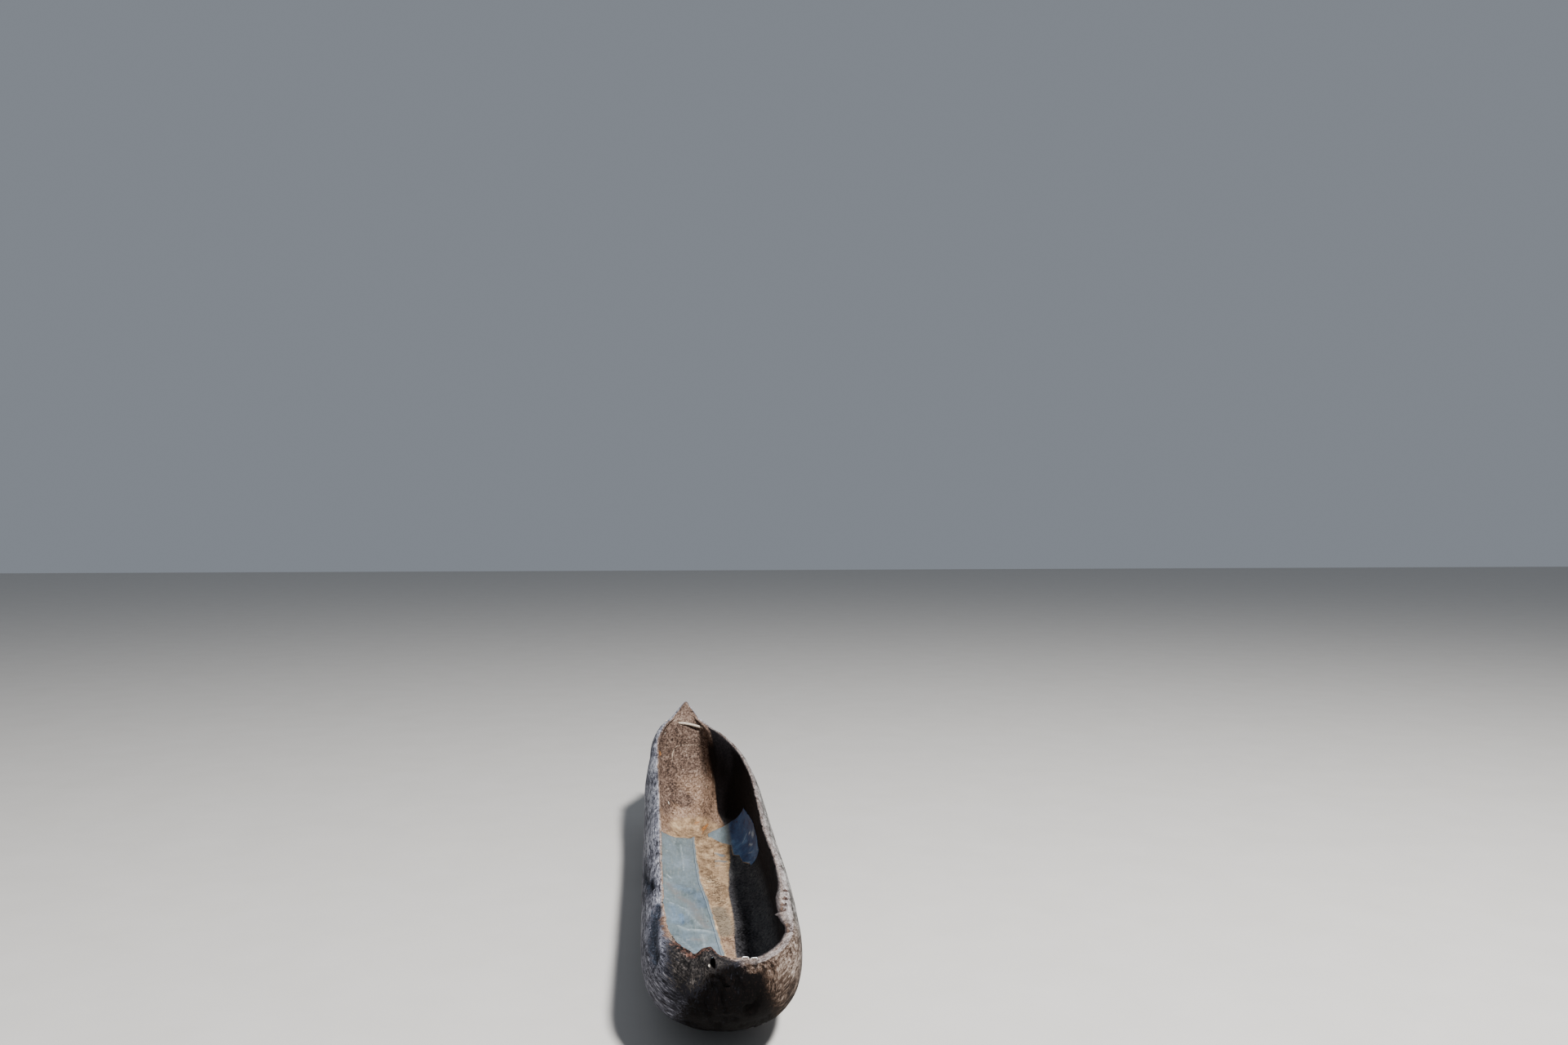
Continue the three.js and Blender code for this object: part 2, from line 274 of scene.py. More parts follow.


# Where each kind of weather and of painted shade is, from 0 to 1, in metres from the stern's tip. A border is
# a line x(z).
# The chin is black with rot and with painted shade under the undercut stern; its starboard border follows the
# shade's edge
CHIN_PORT = [
    (0, -0.19), (0.145, -0.172), (0.183, -0.168), (0.241, -0.158), (0.28, -0.140), (0.307, -0.118),
    (0.329, -0.103), (0.360, -0.078), (0.382, -0.050), (0.395, -0.02),
]
CHIN_STARBOARD = [
    (0, 0.18), (0.165, 0.142), (0.259, 0.120), (0.308, 0.103), (0.340, 0.099), (0.366, 0.098), (0.369, 0.050),
    (0.39, 0.036), (0.40, 0.015),
]
GOUGE = [
    (-0.243, 0.60, 0.410), (-0.255, 0.46, 0.396), (-0.259, 0.337, 0.382), (-0.257, 0.261, 0.364),
    (-0.251, 0.220, 0.350),
]
OLD_GOUGE = [(-0.285, 1.50, 0.33), (-0.289, 1.25, 0.34), (-0.280, 0.98, 0.375)]
KNOT = [(-0.264, 0.830, 0.396), (-0.272, 0.960, 0.387)]
SPLIT = [(0.079, 0.105, 0.390), (0.076, 0.08, 0.388), (0.073, 0.052, 0.382), (0.071, 0.040, 0.374)]
LOBE_SPOTS = [
    (-0.149, 0.190, 0.401), (-0.175, 0.245, 0.400), (-0.128, 0.135, 0.406), (-0.095, 0.100, 0.422),
    (-0.055, 0.10, 0.417),
]
ROTTEN_SPOTS = [
    (0.241, 0.716, 0.419), (0.219, 0.559, 0.416), (0.205, 0.506, 0.412), (0.206, 0.319, 0.401),
    (0.202, 0.360, 0.403), (0.270, 1.039, 0.405), (0.230, 0.62, 0.418),
]
TANNED_SPOTS = [
    (-0.203, 0.313, 0.401), (-0.209, 0.365, 0.404), (-0.214, 0.420, 0.405), (-0.217, 0.465, 0.406),
]
PALE_SPOTS = [
    (0.083, 3.267, 0.322), (-0.168, 3.209, 0.183), (-0.162, 3.163, 0.155), (0.104, 3.129, 0.208),
    (-0.188, 3.392, 0.555), (-0.078, 0.032, 0.393), (-0.264, 0.992, 0.395),
]
RUST_SPOTS = [
    (-0.009, 3.099, 0.087, 0.016), (0.030, 3.000, 0.078, 0.022), (0.012, 2.95, 0.072, 0.013),
    (0.052, 3.020, 0.085, 0.016), (0.110, 2.655, 0.070, 0.008), (-0.218, 3.345, 0.445, 0.014),
    (-0.213, 3.30, 0.47, 0.010),
]
TRODDEN = [(0.015, 2.11, 0), (0.056, 1.97, 0), (0.036, 1.80, 0), (0.060, 1.70, 0)]
SOAKED = [(0.034, 1.62, 0), (0.050, 1.44, 0), (0.044, 1.30, 0)]
# The edge of the painted shadow in the hollow, as y and x: starboard of it the hollow is painted shade
SHADE_EDGE = [
    (0.5, 0.07), (1.07, 0.078), (1.54, 0.099), (1.78, 0.095), (2.18, 0.114), (2.70, 0.159), (2.93, 0.140),
    (3.05, 0.112), (3.19, 0.103), (3.29, 0.084), (3.5, 0.03),
]
RAMP_SMOKE = [(-0.120, 3.284, 0.202), (-0.075, 3.26, 0.180)]
RAMP_LIT_BAND = [(0.020, 3.40, 0.45), (0.055, 3.29, 0.34), (0.075, 3.18, 0.22)]
ARCH_MIDDLE = (-0.035, 0.390)
ARCH_REACH = (0.108, 0.084)


def line_at(place, line):
    """The value of a line of straight pieces, given as rows of place and value."""
    return np.interp(place, *np.array(line).T)


def between(low_line, high_line, soft_low, soft_high):
    """1 where x lies between two lines x(z), fading over a width at each line."""
    low, high = line_at(z, low_line), line_at(z, high_line)
    return smooth_step(x, low - soft_low, low + soft_low) * smooth_step(x, high + soft_high, high - soft_high)


def spotted(spots, width):
    """A mask that is 1 at each spot and falls off over a width."""
    return sum(near_line(loop, [spot, np.add(spot, 0.001)], width) for spot in spots)


chin = between(CHIN_PORT, CHIN_STARBOARD, 0.050, 0.028)
chin = chin * smooth_step(z, 0.400, 0.386) * smooth_step(y, 0.50, 0.15) * outside
# Painted shade over the outside of the stern's end
stern_shade = smooth_step(x, -0.25, -0.13) * smooth_step(x, 0.190, 0.095) * smooth_step(y, 0.60, 0.20) * outside
# The crest's port half is charred, and darker with painted shade
crest = smooth_step(z, 0.27, 0.37) * smooth_step(x, -0.24, -0.17) * smooth_step(x, 0.025, -0.045)
crest = crest * smooth_step(y, 0.42, 0.20)
quarter = smooth_step(y, 0.60, 0.25) * outside
face = smooth_step(y, 0.20, 0.06) * smooth_step(np.abs(x), 0.20, 0.12) * outside
low = smooth_step(z, 0.24, 0.08) * outside
sunny = smooth_step(x, 0.0, 0.14) * outside
gouge = near_line(loop, GOUGE, 0.024) * outside
old_gouge = near_line(loop, OLD_GOUGE, 0.010) * outside
knot = near_line(loop, KNOT, 0.016) * 1.5 * outside
split = near_line(loop, SPLIT, 0.004) * outside
lobes = spotted(LOBE_SPOTS, 0.024)
rotten = spotted(ROTTEN_SPOTS, 0.018)
tanned = spotted(TANNED_SPOTS, 0.024)
pale_bits = spotted(PALE_SPOTS, 0.0065)
rust = sum(spotted([spot[:3]], spot[3]) for spot in RUST_SPOTS)
floor_place = loop * (1, 1, 0)
trodden = near_line(floor_place, TRODDEN, 0.036)
soaked = near_line(floor_place, SOAKED, 0.044) * inside
# Painted shadow over the hollow's starboard half, deepest aft near its edge
past_edge = x - line_at(y, SHADE_EDGE)
shaded_side = smooth_step(past_edge, -0.020, 0.014) * inside
deepest_shade = smooth_step(past_edge, 0.11, 0.04) * smooth_step(y, 2.3, 1.2) * shaded_side
foot_dust = smooth_step(z, 0.150, 0.068) * inside * smooth_step(past_edge, 0.014, -0.010)
foot_dust = foot_dust * (0.40 + 0.60 * smooth_step(y, 1.2, 2.3))
ramp_dark = 0.35 + 0.65 * smooth_step(z, 0.20, 0.47) + 0.9 * near_line(loop, RAMP_SMOKE, 0.045)
# A painted band of light along the shadow's edge on the ramp takes the soot away there
ramp_dark = ramp_dark - 0.6 * near_line(loop, RAMP_LIT_BAND, 0.030) + 0.6 * smooth_step(x, -0.110, -0.190)
ramp_dark = np.clip(ramp_dark, 0, 1) * smooth_step(y, 2.85, 3.30) * inside
arch = (((x - ARCH_MIDDLE[0]) / ARCH_REACH[0]) ** 4 + ((z - ARCH_MIDDLE[1]) / ARCH_REACH[1]) ** 4) ** 0.25
under_arch = smooth_step(arch, 1.03, 0.97) * ramp_dark * smooth_step(z, 0.36, 0.40)

# How deep each mark goes, in metres
HEWN_DEPTH = 0.0050
HEWN_DEPTH_INSIDE = 0.004
RIBBING_DEPTH = 0.0026
ADZE_DEPTH = 0.0015
ROTTEN_DEPTH = 0.007
SPLIT_DEPTH = 0.006
CHIN_DEPTHS = (0.002, 0.018)
CREST_DEPTH = 0.010
GOUGE_DEPTH = 0.010
OLD_GOUGE_DEPTH = 0.006
KNOT_DEPTH = 0.010
CHIP_DEPTH = 0.010
ARCH_DEPTH = 0.003
hewn = lattice_noise(loop, (0.11, 0.40, 0.11), 3, 3)
ribbing = lattice_noise(loop, (0.040, 0.50, 0.040), 7, 2)
rot_pits = lattice_noise(loop, 0.050, 11, 4)
rim_chips = lattice_noise(loop, (0.05, 0.055, 0.05), 17, 3)
facets = chopped_facets(loop, (0.050, 0.075, 0.050), 23)
depth = outside * (HEWN_DEPTH * (hewn - 0.5) + RIBBING_DEPTH * (ribbing - 0.5))
depth += inside * (HEWN_DEPTH_INSIDE * (hewn - 0.5) + ADZE_DEPTH * facets)
depth += ROTTEN_DEPTH * rotten + SPLIT_DEPTH * split
depth += chin * (CHIN_DEPTHS[0] + CHIN_DEPTHS[1] * smooth_step(rot_pits, 0.42, 0.75))
depth += crest * CREST_DEPTH * smooth_step(rot_pits, 0.40, 0.70)
depth += GOUGE_DEPTH * gouge * (0.5 + hewn) + OLD_GOUGE_DEPTH * old_gouge + KNOT_DEPTH * knot
depth += on_rim * CHIP_DEPTH * smooth_step(rim_chips, 0.52, 0.80)
depth += ARCH_DEPTH * under_arch
depth *= 1 - 0.8 * smooth_step(y, 3.58, 3.66)
skin = loop
loop = skin - normal * depth[..., None]

# The stern's crest is scalloped, with lobes between notches cut down from the rim, as x, width and drop
NOTCHES = [(-0.118, 0.015, 0.010), (-0.215, 0.014, 0.005), (0.015, 0.020, 0.005), (0.060, 0.012, 0.004)]
near_top = smooth_step(loop[..., 2], 0.345, 0.40) * smooth_step(loop[..., 1], 0.36, 0.24)
for place, width, drop in NOTCHES:
    loop[..., 2] -= drop * np.exp(-(((loop[..., 0] - place) / width) ** 2)) * near_top

# A splinter stands into the hollow from the starboard lip, aft of a rounded bite
SPLINTER_PLACE = 0.470
SPLINTER_WIDTH = 0.010
SPLINTER_LENGTH = 0.012
lip = np.sqrt(on_rim * inside)
splinter = np.exp(-(((loop[..., 1] - SPLINTER_PLACE) / SPLINTER_WIDTH) ** 2)) * (1 - port) * lip
loop[..., 0] -= SPLINTER_LENGTH * splinter
loop = np.clip(loop, np.array(cad_box[0]) + ORIGIN, np.array(cad_box[1]) + ORIGIN)


def shell_faces(number):
    """The quads of a grid of vertex numbers whose columns close round into a loop."""
    beside = np.roll(number, -1, 1)
    return np.stack([number[:-1], beside[:-1], beside[1:], number[1:]], -1).reshape(-1, 4)


def fill_mesh(name, points, faces, masks=None):
    """A mesh object at the origin from points in the part's frame, with its masks as point attributes."""
    mesh = bpy.data.meshes.new(name)
    mesh.from_pydata(points.tolist(), [], faces if isinstance(faces, list) else faces.tolist())
    for mask, values in (masks or {}).items():
        field = mesh.attributes.new(mask, "FLOAT", "POINT")
        field.data.foreach_set("value", values.astype(np.float32).ravel())
    mesh.shade_smooth()
    mesh.update()
    piece = bpy.data.objects.new(name, mesh)
    bpy.context.scene.collection.objects.link(piece)
    return piece


def round_bar(path, radii, sides, squash=1.0):
    """A closed bar: a ring of each radius is carried along the path, square to it, and the ends are fans.
    Squash is its height over its width."""
    path, radii = np.array(path), np.array(radii)
    ahead = np.gradient(path, axis=0)
    ahead /= np.linalg.norm(ahead, axis=1, keepdims=True)
    up = np.array([0.0, 0.0, 1.0]) if np.abs(ahead[:, 2]).max() < 0.9 else np.array([0.06, 0.998, 0.0])
    wide = np.cross(ahead, up)
    wide /= np.linalg.norm(wide, axis=1, keepdims=True)
    high = np.cross(wide, ahead)
    turn = np.arange(sides) / sides * 2 * np.pi
    spoke = wide[:, None] * np.cos(turn)[None, :, None] + high[:, None] * np.sin(turn)[None, :, None] * squash
    points = path[:, None] + spoke * radii[:, None, None]
    number = np.arange(len(path) * sides).reshape(len(path), sides)
    beside = np.roll(number, -1, 1)
    walls = np.stack([number[:-1], number[1:], beside[1:], beside[:-1]], -1).reshape(-1, 4)
    first, last = len(path) * sides, len(path) * sides + 1
    fans = np.stack([0 * number[0] + first, number[0], beside[0]], -1).tolist()
    fans += np.stack([0 * number[-1] + last, beside[-1], number[-1]], -1).tolist()
    return np.concatenate([points.reshape(-1, 3), path[:1], path[-1:]]), walls.tolist() + fans


# At the stern's and the bow's seams the starboard columns are the port ones
number = np.arange(loop[..., 0].size).reshape(loop.shape[:2])
mirrored = (2 * half_count - column) % (2 * half_count)
for end in (0, -1):
    number[end] = np.where(column > half_count, number[end][mirrored], number[end])
kept, compact = np.unique(number, return_inverse=True)
faces = shell_faces(compact.reshape(number.shape))
masks = {
    "inside": inside, "rim": on_rim, "lip": lip, "chin": chin, "crest": crest, "lobes": lobes,
    "quarter": quarter, "face": face, "hollow_shade": np.maximum(gouge, old_gouge) + knot, "dust": foot_dust,
    "ramp": ramp_dark, "painted_shade": shaded_side, "rust": rust, "sunny": sunny, "low": low,
    "rotten": rotten, "tanned": tanned, "pale_bits": pale_bits, "split": split, "trodden": trodden,
    "soaked": soaked, "deepest_shade": deepest_shade, "stern_shade": stern_shade,
}
masks = {name: np.clip(values, 0, 1).reshape(-1)[kept] for name, values in masks.items()}
skin_points = loop.reshape(-1, 3)[kept] - ORIGIN
hull = fill_mesh("dugout_hull", skin_points, faces, masks)

# The mooring hole through the stern's crest, worn oval, and the peg's hole through both cheeks of the bow
MOORING_HOLE = [(-0.070, -0.05, 0.394), (-0.067, 0.03, 0.396), (-0.067, 0.12, 0.402), (-0.066, 0.24, 0.404)]
MOORING_HOLE_RADII = [0.0105, 0.0098, 0.0080, 0.0084]
MOORING_HOLE_SQUASH = 1.8
PEG_PORT = np.array([-0.186, 3.502, 0.609])
PEG_STARBOARD = np.array([0.080, 3.399, 0.575])
PEG_HOLE_RADIUS = 0.0088
HOLE_SIDES = 20
HOLE_EDGE_ANGLE = np.radians(50)
peg_line = PEG_PORT + (PEG_STARBOARD - PEG_PORT) * np.array([[-0.1], [0.5], [1.1]])
for path, radii, squash in (
    (MOORING_HOLE, MOORING_HOLE_RADII, MOORING_HOLE_SQUASH),
    (peg_line, [PEG_HOLE_RADIUS] * 3, 1.0),
):
    points, faces = round_bar(path, radii, HOLE_SIDES, squash)
    cutter = fill_mesh("cutter", points - ORIGIN, faces)
    step = hull.modifiers.new("hole", "BOOLEAN")
    step.solver, step.operation, step.object = "MANIFOLD", "DIFFERENCE", cutter
    bored = bpy.data.meshes.new_from_object(hull.evaluated_get(bpy.context.evaluated_depsgraph_get()))
    hull.modifiers.clear()
    bored.set_sharp_from_angle(angle=HOLE_EDGE_ANGLE)
    hull.data = bored
    bpy.data.objects.remove(cutter)

# The corners that the holes made take their masks from the nearest corner of the skin before it was bored
HOLE_MARGIN = 0.03
AMIDSHIPS = 1.4
corners = np.empty(3 * len(hull.data.vertices), np.float32)
hull.data.vertices.foreach_get("co", corners)
corners = corners.reshape(-1, 3)
before = skin_points.astype(np.float32)
digits = np.array([1, 10**6, 10**12])
old_keys, new_keys = [np.round(points * 1e5).astype(np.int64) @ digits for points in (before, corners)]
cut = np.flatnonzero(~np.isin(new_keys, old_keys))
reach = np.array([corners[cut].min(0), corners[cut].max(0)]) + [[-HOLE_MARGIN], [HOLE_MARGIN]]
around = np.flatnonzero(((before > reach[0]) & (before < reach[1])).all(-1))
around = around[np.abs(before[around, 1]) > AMIDSHIPS]
nearest = around[((corners[cut][:, None] - before[around][None]) ** 2).sum(-1).argmin(1)]
for name, values in masks.items():
    field = hull.data.attributes[name].data
    kept_values = np.empty(len(corners), np.float32)
    field.foreach_get("value", kept_values)
    kept_values[cut] = values[nearest]
    field.foreach_set("value", kept_values)


def paint(red, green, shade_and_sky):
    """A linear colour from screen values of 0 to 255."""
    screen = np.array([red, green, shade_and_sky]) / 255
    return (*np.where(screen > 0.04, ((screen + 0.055) / 1.055) ** 2.4, screen / 12.92), 1.0)


def shader_node(kind, inputs, **settings):
    """A node in the tree of the sockets that it is given, with its properties set and each input, by name or
    number, given a value or linked to a socket."""
    linked = {name: value for name, value in inputs.items() if isinstance(value, bpy.types.NodeSocket)}
    tree = next(iter(linked.values())).id_data
    node = tree.nodes.new("ShaderNode" + kind)
    for name, value in settings.items():
        setattr(node, name, value)
    for name, value in inputs.items():
        if name in linked:
            tree.links.new(value, node.inputs[name])
        else:
            node.inputs[name].default_value = value
    return node


def sums(kind, first, second=0.0):
    """One sum of two numbers or sockets, such as ADD or POWER; ABSOLUTE and SIGN use only the first."""
    return shader_node("Math", {0: first, 1: second}, operation=kind).outputs[0]


def times(first, *others):
    """The product of numbers or sockets."""
    for other in others:
        first = sums("MULTIPLY", first, other)
    return first


def plus(*parts):
    """The sum of parts, each a number or socket with its weight."""
    total = times(*parts[0])
    for part, weight in parts[1:]:
        total = sums("ADD", total, times(part, weight))
    return total


def shifted(value, *parts):
    """A tone moved by further noises or masks, each with its weight and, where that isn't 0.5, the value at
    which it moves nothing."""
    for part, weight, *middle in parts:
        away = sums("SUBTRACT", part, middle[0] if middle else 0.5)
        value = sums("ADD", value, times(away, weight))
    return value


def eased(value, low, high, least=0.0, most=1.0):
    """Least below low, most above high, and a smooth step between."""
    inputs = {"Value": value, "From Min": low, "From Max": high, "To Min": least, "To Max": most}
    return shader_node("MapRange", inputs, interpolation_type="SMOOTHSTEP").outputs["Result"]


def blended(share, first, second):
    """A number that goes from the first to the second as the share goes from 0 to 1."""
    return shader_node("Mix", {0: share, 2: first, 3: second}, data_type="FLOAT").outputs[0]


def mixed(share, first, second):
    """A colour that goes from the first to the second as the share goes from 0 to 1."""
    return shader_node("Mix", {0: share, 6: first, 7: second}, data_type="RGBA").outputs[2]


def coated(colour, *coats):
    """A colour under further coats, each laid on where its cover is 1."""
    for cover, coat in coats:
        colour = mixed(cover, colour, coat)
    return colour


def graded(value, stops):
    """A colour that eases through stops, each a place from 0 to 1 with the paint that stands there."""
    node = shader_node("ValToRGB", {"Fac": value})
    node.color_ramp.interpolation = "EASE"
    band = node.color_ramp.elements
    for stop, (where, colour) in enumerate(stops):
        element = band[stop] if stop < 2 else band.new(where)
        element.position, element.color = where, paint(*colour)
    return node.outputs["Color"]


def clouds(place, per_metre, detail=4.0, rough=0.6):
    """Noise from 0 to 1 with so many cells per metre along x, y and z."""
    near = shader_node("VectorMath", {0: place, 1: per_metre}, operation="MULTIPLY").outputs[0]
    inputs = {"Vector": near, "Scale": 1.0, "Detail": detail, "Roughness": rough}
    return shader_node("TexNoise", inputs).outputs["Fac"]


def broken(mask, noise, spread=0.5):
    """A mask whose soft border is broken up by a noise; where it is 0 it stays 0."""
    rough = sums("ADD", mask, times(noise, spread))
    return times(eased(rough, spread / 2 + 0.3, spread / 2 + 0.7), eased(mask, 0.02, 0.30))


def relief(height, distance, strength=1.0):
    """A normal from a height of 0 to 1 that stands for a distance in metres."""
    inputs = {"Height": height, "Distance": distance, "Strength": strength}
    return shader_node("Bump", inputs).outputs["Normal"]


def masks_of(material, names):
    """The mesh's own masks, each as a socket in the material."""
    nodes = {name: material.node_tree.nodes.new("ShaderNodeAttribute") for name in names}
    for name, node in nodes.items():
        node.attribute_name = name
    return {name: node.outputs["Fac"] for name, node in nodes.items()}


def new_group(name, inputs, outputs):
    """An empty node group with its sockets: the sockets that it is given and the node that it fills."""
    tree = bpy.data.node_groups.new(name, "ShaderNodeTree")
    for way, sockets in (("INPUT", inputs), ("OUTPUT", outputs)):
        for socket, kind in sockets.items():
            tree.interface.new_socket(socket, in_out=way, socket_type="NodeSocket" + kind)
    return tree.nodes.new("NodeGroupInput").outputs, tree.nodes.new("NodeGroupOutput")


def grouped(name, inputs):
    """The outputs of a node group that is placed with these inputs."""
    return shader_node("Group", inputs, node_tree=bpy.data.node_groups[name]).outputs


def new_material(name):
    """A material with its Principled shader: the material, the shader and the object's coordinates."""
    material = bpy.data.materials.new(name)
    material.use_nodes = True
    nodes = material.node_tree.nodes
    return material, nodes["Principled BSDF"], nodes.new("ShaderNodeTexCoord").outputs["Object"]


def link_all(node, values):
    """Links a value to each named input of a node."""
    for name, value in values.items():
        node.id_data.links.new(value, node.inputs[name])


# Weathered grain along its own y, as a tone round 0.5, with drying checks as thin dark lines in patches
given, filled = new_group(
    "log_grain",
    {"Place": "Vector", "Width": "Float"},
    {"Tone": "Float", "Checks": "Float", "Height": "Float"},
)
wander = shader_node("TexNoise", {"Vector": given["Place"], "Scale": 6.0, "Detail": 3.0}).outputs["Color"]
bends = {0: wander, 1: (0.014, 0.0, 0.014), 2: given["Place"]}
bent = shader_node("VectorMath", bends, operation="MULTIPLY_ADD").outputs[0]
bent = shader_node("VectorMath", {0: bent, "Scale": given["Width"]}, operation="SCALE").outputs[0]
streaks = clouds(bent, (120, 9, 120), 4.0, 0.65)
fibres = clouds(bent, (430, 30, 430), 3.0, 0.6)
flecks = clouds(bent, (170, 60, 170), 4.0, 0.75)
cracks = clouds(bent, (40, 2.6, 40), 2.0, 0.5)
line = eased(sums("ABSOLUTE", sums("SUBTRACT", cracks, 0.5)), 0.012, 0.003)
patches = eased(clouds(bent, (9, 3, 9), 2.0), 0.46, 0.58)
checks = times(line, patches)
tone = plus((streaks, 0.45), (fibres, 0.30), (flecks, 0.25))
height = sums("SUBTRACT", tone, times(checks, 0.40))
link_all(filled, {"Tone": tone, "Checks": checks, "Height": height})

# Sand that has settled in corners: how much it covers, its colour and its grains
SAND_STOPS = [
    (0.36, (88, 70, 54)), (0.45, (128, 104, 80)), (0.52, (160, 132, 103)), (0.58, (182, 154, 120)),
    (0.68, (210, 185, 151)),
]
given, filled = new_group(
    "sand_dust",
    {"Place": "Vector", "Amount": "Float"},
    {"Cover": "Float", "Colour": "Color"},
)
drifts = clouds(given["Place"], (11, 7, 11), 6.0, 0.62)
grains = clouds(given["Place"], (330, 230, 330), 3.0, 0.7)
patchy = clouds(given["Place"], (34, 20, 34), 5.0, 0.7)
tone = shifted(plus((grains, 0.45), (patchy, 0.55)), (drifts, 0.45))
cover = broken(given["Amount"], drifts, 0.9)
link_all(filled, {"Cover": cover, "Colour": graded(tone, SAND_STOPS)})

# The wood's paints, as places along the grain's tone
# The port paints are a painted-shade copy of the starboard ones, which stand for the sunlit wood
PORT_SHADED_STOPS = [
    (0.36, (26, 26, 31)), (0.43, (60, 60, 68)), (0.50, (102, 102, 111)), (0.57, (140, 140, 148)),
    (0.67, (192, 192, 197)),
]
STARBOARD_SUNLIT_STOPS = [
    (0.36, (40, 37, 35)), (0.46, (88, 85, 82)), (0.52, (122, 119, 116)), (0.58, (152, 149, 146)),
    (0.66, (194, 191, 188)),
]
QUARTER_STOPS = [
    (0.34, (24, 17, 13)), (0.44, (64, 50, 41)), (0.52, (110, 96, 86)), (0.59, (148, 134, 124)),
    (0.69, (192, 183, 174)),
]
HOLLOW_SHADE_STOPS = [(0.42, (9, 10, 13)), (0.52, (30, 34, 43)), (0.60, (72, 78, 90)), (0.70, (140, 144, 154))]
SUNLIT_RIM_STOPS = [
    (0.34, (58, 47, 44)), (0.43, (104, 94, 91)), (0.51, (140, 131, 128)), (0.59, (170, 163, 160)),
    (0.70, (204, 201, 197)),
]
PIT_STOPS = [(0.38, (16, 11, 10)), (0.50, (46, 34, 31)), (0.62, (100, 80, 74))]
TAN_STOPS = [(0.38, (44, 32, 28)), (0.50, (96, 76, 66)), (0.62, (148, 124, 110))]
CUT_STOPS = [
    (0.36, (66, 50, 40)), (0.45, (112, 90, 74)), (0.53, (142, 116, 97)), (0.61, (164, 138, 118)),
    (0.70, (200, 178, 158)),
]
SOOT_STOPS = [
    (0.36, (46, 36, 31)), (0.45, (82, 66, 57)), (0.53, (107, 88, 77)), (0.61, (132, 112, 99)),
    (0.70, (170, 152, 138)),
]
SHADED_WALL_STOPS = [(0.30, (12, 10, 11)), (0.40, (26, 22, 23)), (0.52, (48, 42, 42)), (0.66, (78, 70, 68))]
SHADED_FLOOR_STOPS = [(0.22, (22, 21, 22)), (0.38, (60, 58, 60)), (0.52, (88, 86, 87)), (0.66, (116, 113, 110))]
CHAR_AND_SHADE_STOPS = [(0.38, (8, 8, 8)), (0.48, (27, 25, 25)), (0.57, (58, 54, 52)), (0.68, (110, 103, 98))]
LOBE_STOPS = [(0.38, (20, 14, 13)), (0.50, (78, 52, 44)), (0.64, (150, 118, 104))]
ROT_AND_SHADE_STOPS = [(0.40, (2, 2, 2)), (0.54, (6, 4, 4)), (0.63, (18, 12, 10)), (0.72, (48, 42, 40))]
CHECK_PAINT = paint(26, 24, 26)
LEDGE_PAINT = paint(188, 168, 148)
SPLIT_PAINT = paint(14, 11, 10)
DIRT_PAINTS = (paint(46, 38, 32), paint(104, 86, 70))
SOAKED_PAINTS = (paint(76, 68, 58), paint(126, 114, 98))
RUST_PAINTS = (paint(112, 66, 38), paint(206, 146, 88))
CHIP_PAINT = paint(220, 210, 194)

material, shader, place = new_material("weathered_wood")
mask = masks_of(material, masks)
at = shader_node("SeparateXYZ", {0: place}).outputs
mottle = clouds(place, (26, 11, 26), 7.0, 0.7)
blotch = clouds(place, (7, 3, 7), 3.0, 0.5)
speck = clouds(place, (95, 60, 95), 5.0, 0.72)
grit = clouds(place, (230, 190, 230), 3.0, 0.65)

# The torn fibres follow the skin: along the log's sides, down and aft round the quarters, down the stern
GRAIN_RUNS = ((0, 1, 0), (-0.56, -0.80, -0.20), (0.15, -0.30, -0.94))
folded = {0: sums("ABSOLUTE", at[0]), 1: at[1], 2: sums("ADD", at[2], sums("SIGN", at[0]))}
folded = shader_node("CombineXYZ", folded).outputs[0]
grains = []
for run in GRAIN_RUNS:
    turn = Vector(run).rotation_difference(Vector((0, 1, 0))).to_euler()
    turned = shader_node("Mapping", {"Vector": folded, "Rotation": turn}).outputs[0]
    grains.append(grouped("log_grain", {"Place": turned, "Width": 1.0}))
tone, checks, height = (
    blended(mask["face"], blended(mask["quarter"], grains[0][name], grains[1][name]), grains[2][name])
    for name in ("Tone", "Checks", "Height")
)
torn = eased(tone, 0.40, 0.60)
pitted = eased(speck, 0.36, 0.64)
frayed = times(sums("ADD", pitted, torn), 0.5)

# Outside: silver-grey and browner round the starboard quarter. The port side is painted darker and bluer, and
# darker still round its quarter, as painted shade; starboard takes the sunlit paints
worn = shifted(tone, (tone, 0.32), (mottle, 0.32), (blotch, 0.24), (mask["low"], -0.06, 0.0))
# Painted shade darkens the outside of the stern's end
worn = shifted(worn, (mask["stern_shade"], -0.09, 0.0))
forward = eased(at[1], -0.9, 0.9)
silver = graded(shifted(worn, (forward, 0.05, 0.2), (mask["quarter"], -0.04, 0.0)), PORT_SHADED_STOPS)
silver = mixed(mask["sunny"], silver, graded(worn, STARBOARD_SUNLIT_STOPS))
under = eased(at[2], 0.37, 0.25)
brown = graded(shifted(worn, (under, -0.09, 0.1), (speck, 0.20), (mottle, 0.10)), QUARTER_STOPS)
brown_share = times(eased(at[0], 0.0, 0.04), eased(at[0], 0.300, 0.215))
brown_share = times(mask["quarter"], brown_share)
# The gouges and the knot are painted dark and bluish: painted shade in their hollows
hollow = graded(shifted(tone, (speck, 0.3)), HOLLOW_SHADE_STOPS)
wood = coated(
    silver,
    (brown_share, brown),
    (times(checks, sums("SUBTRACT", 1.0, brown_share)), CHECK_PAINT),
    (broken(mask["hollow_shade"], torn, 1.9), hollow),
)

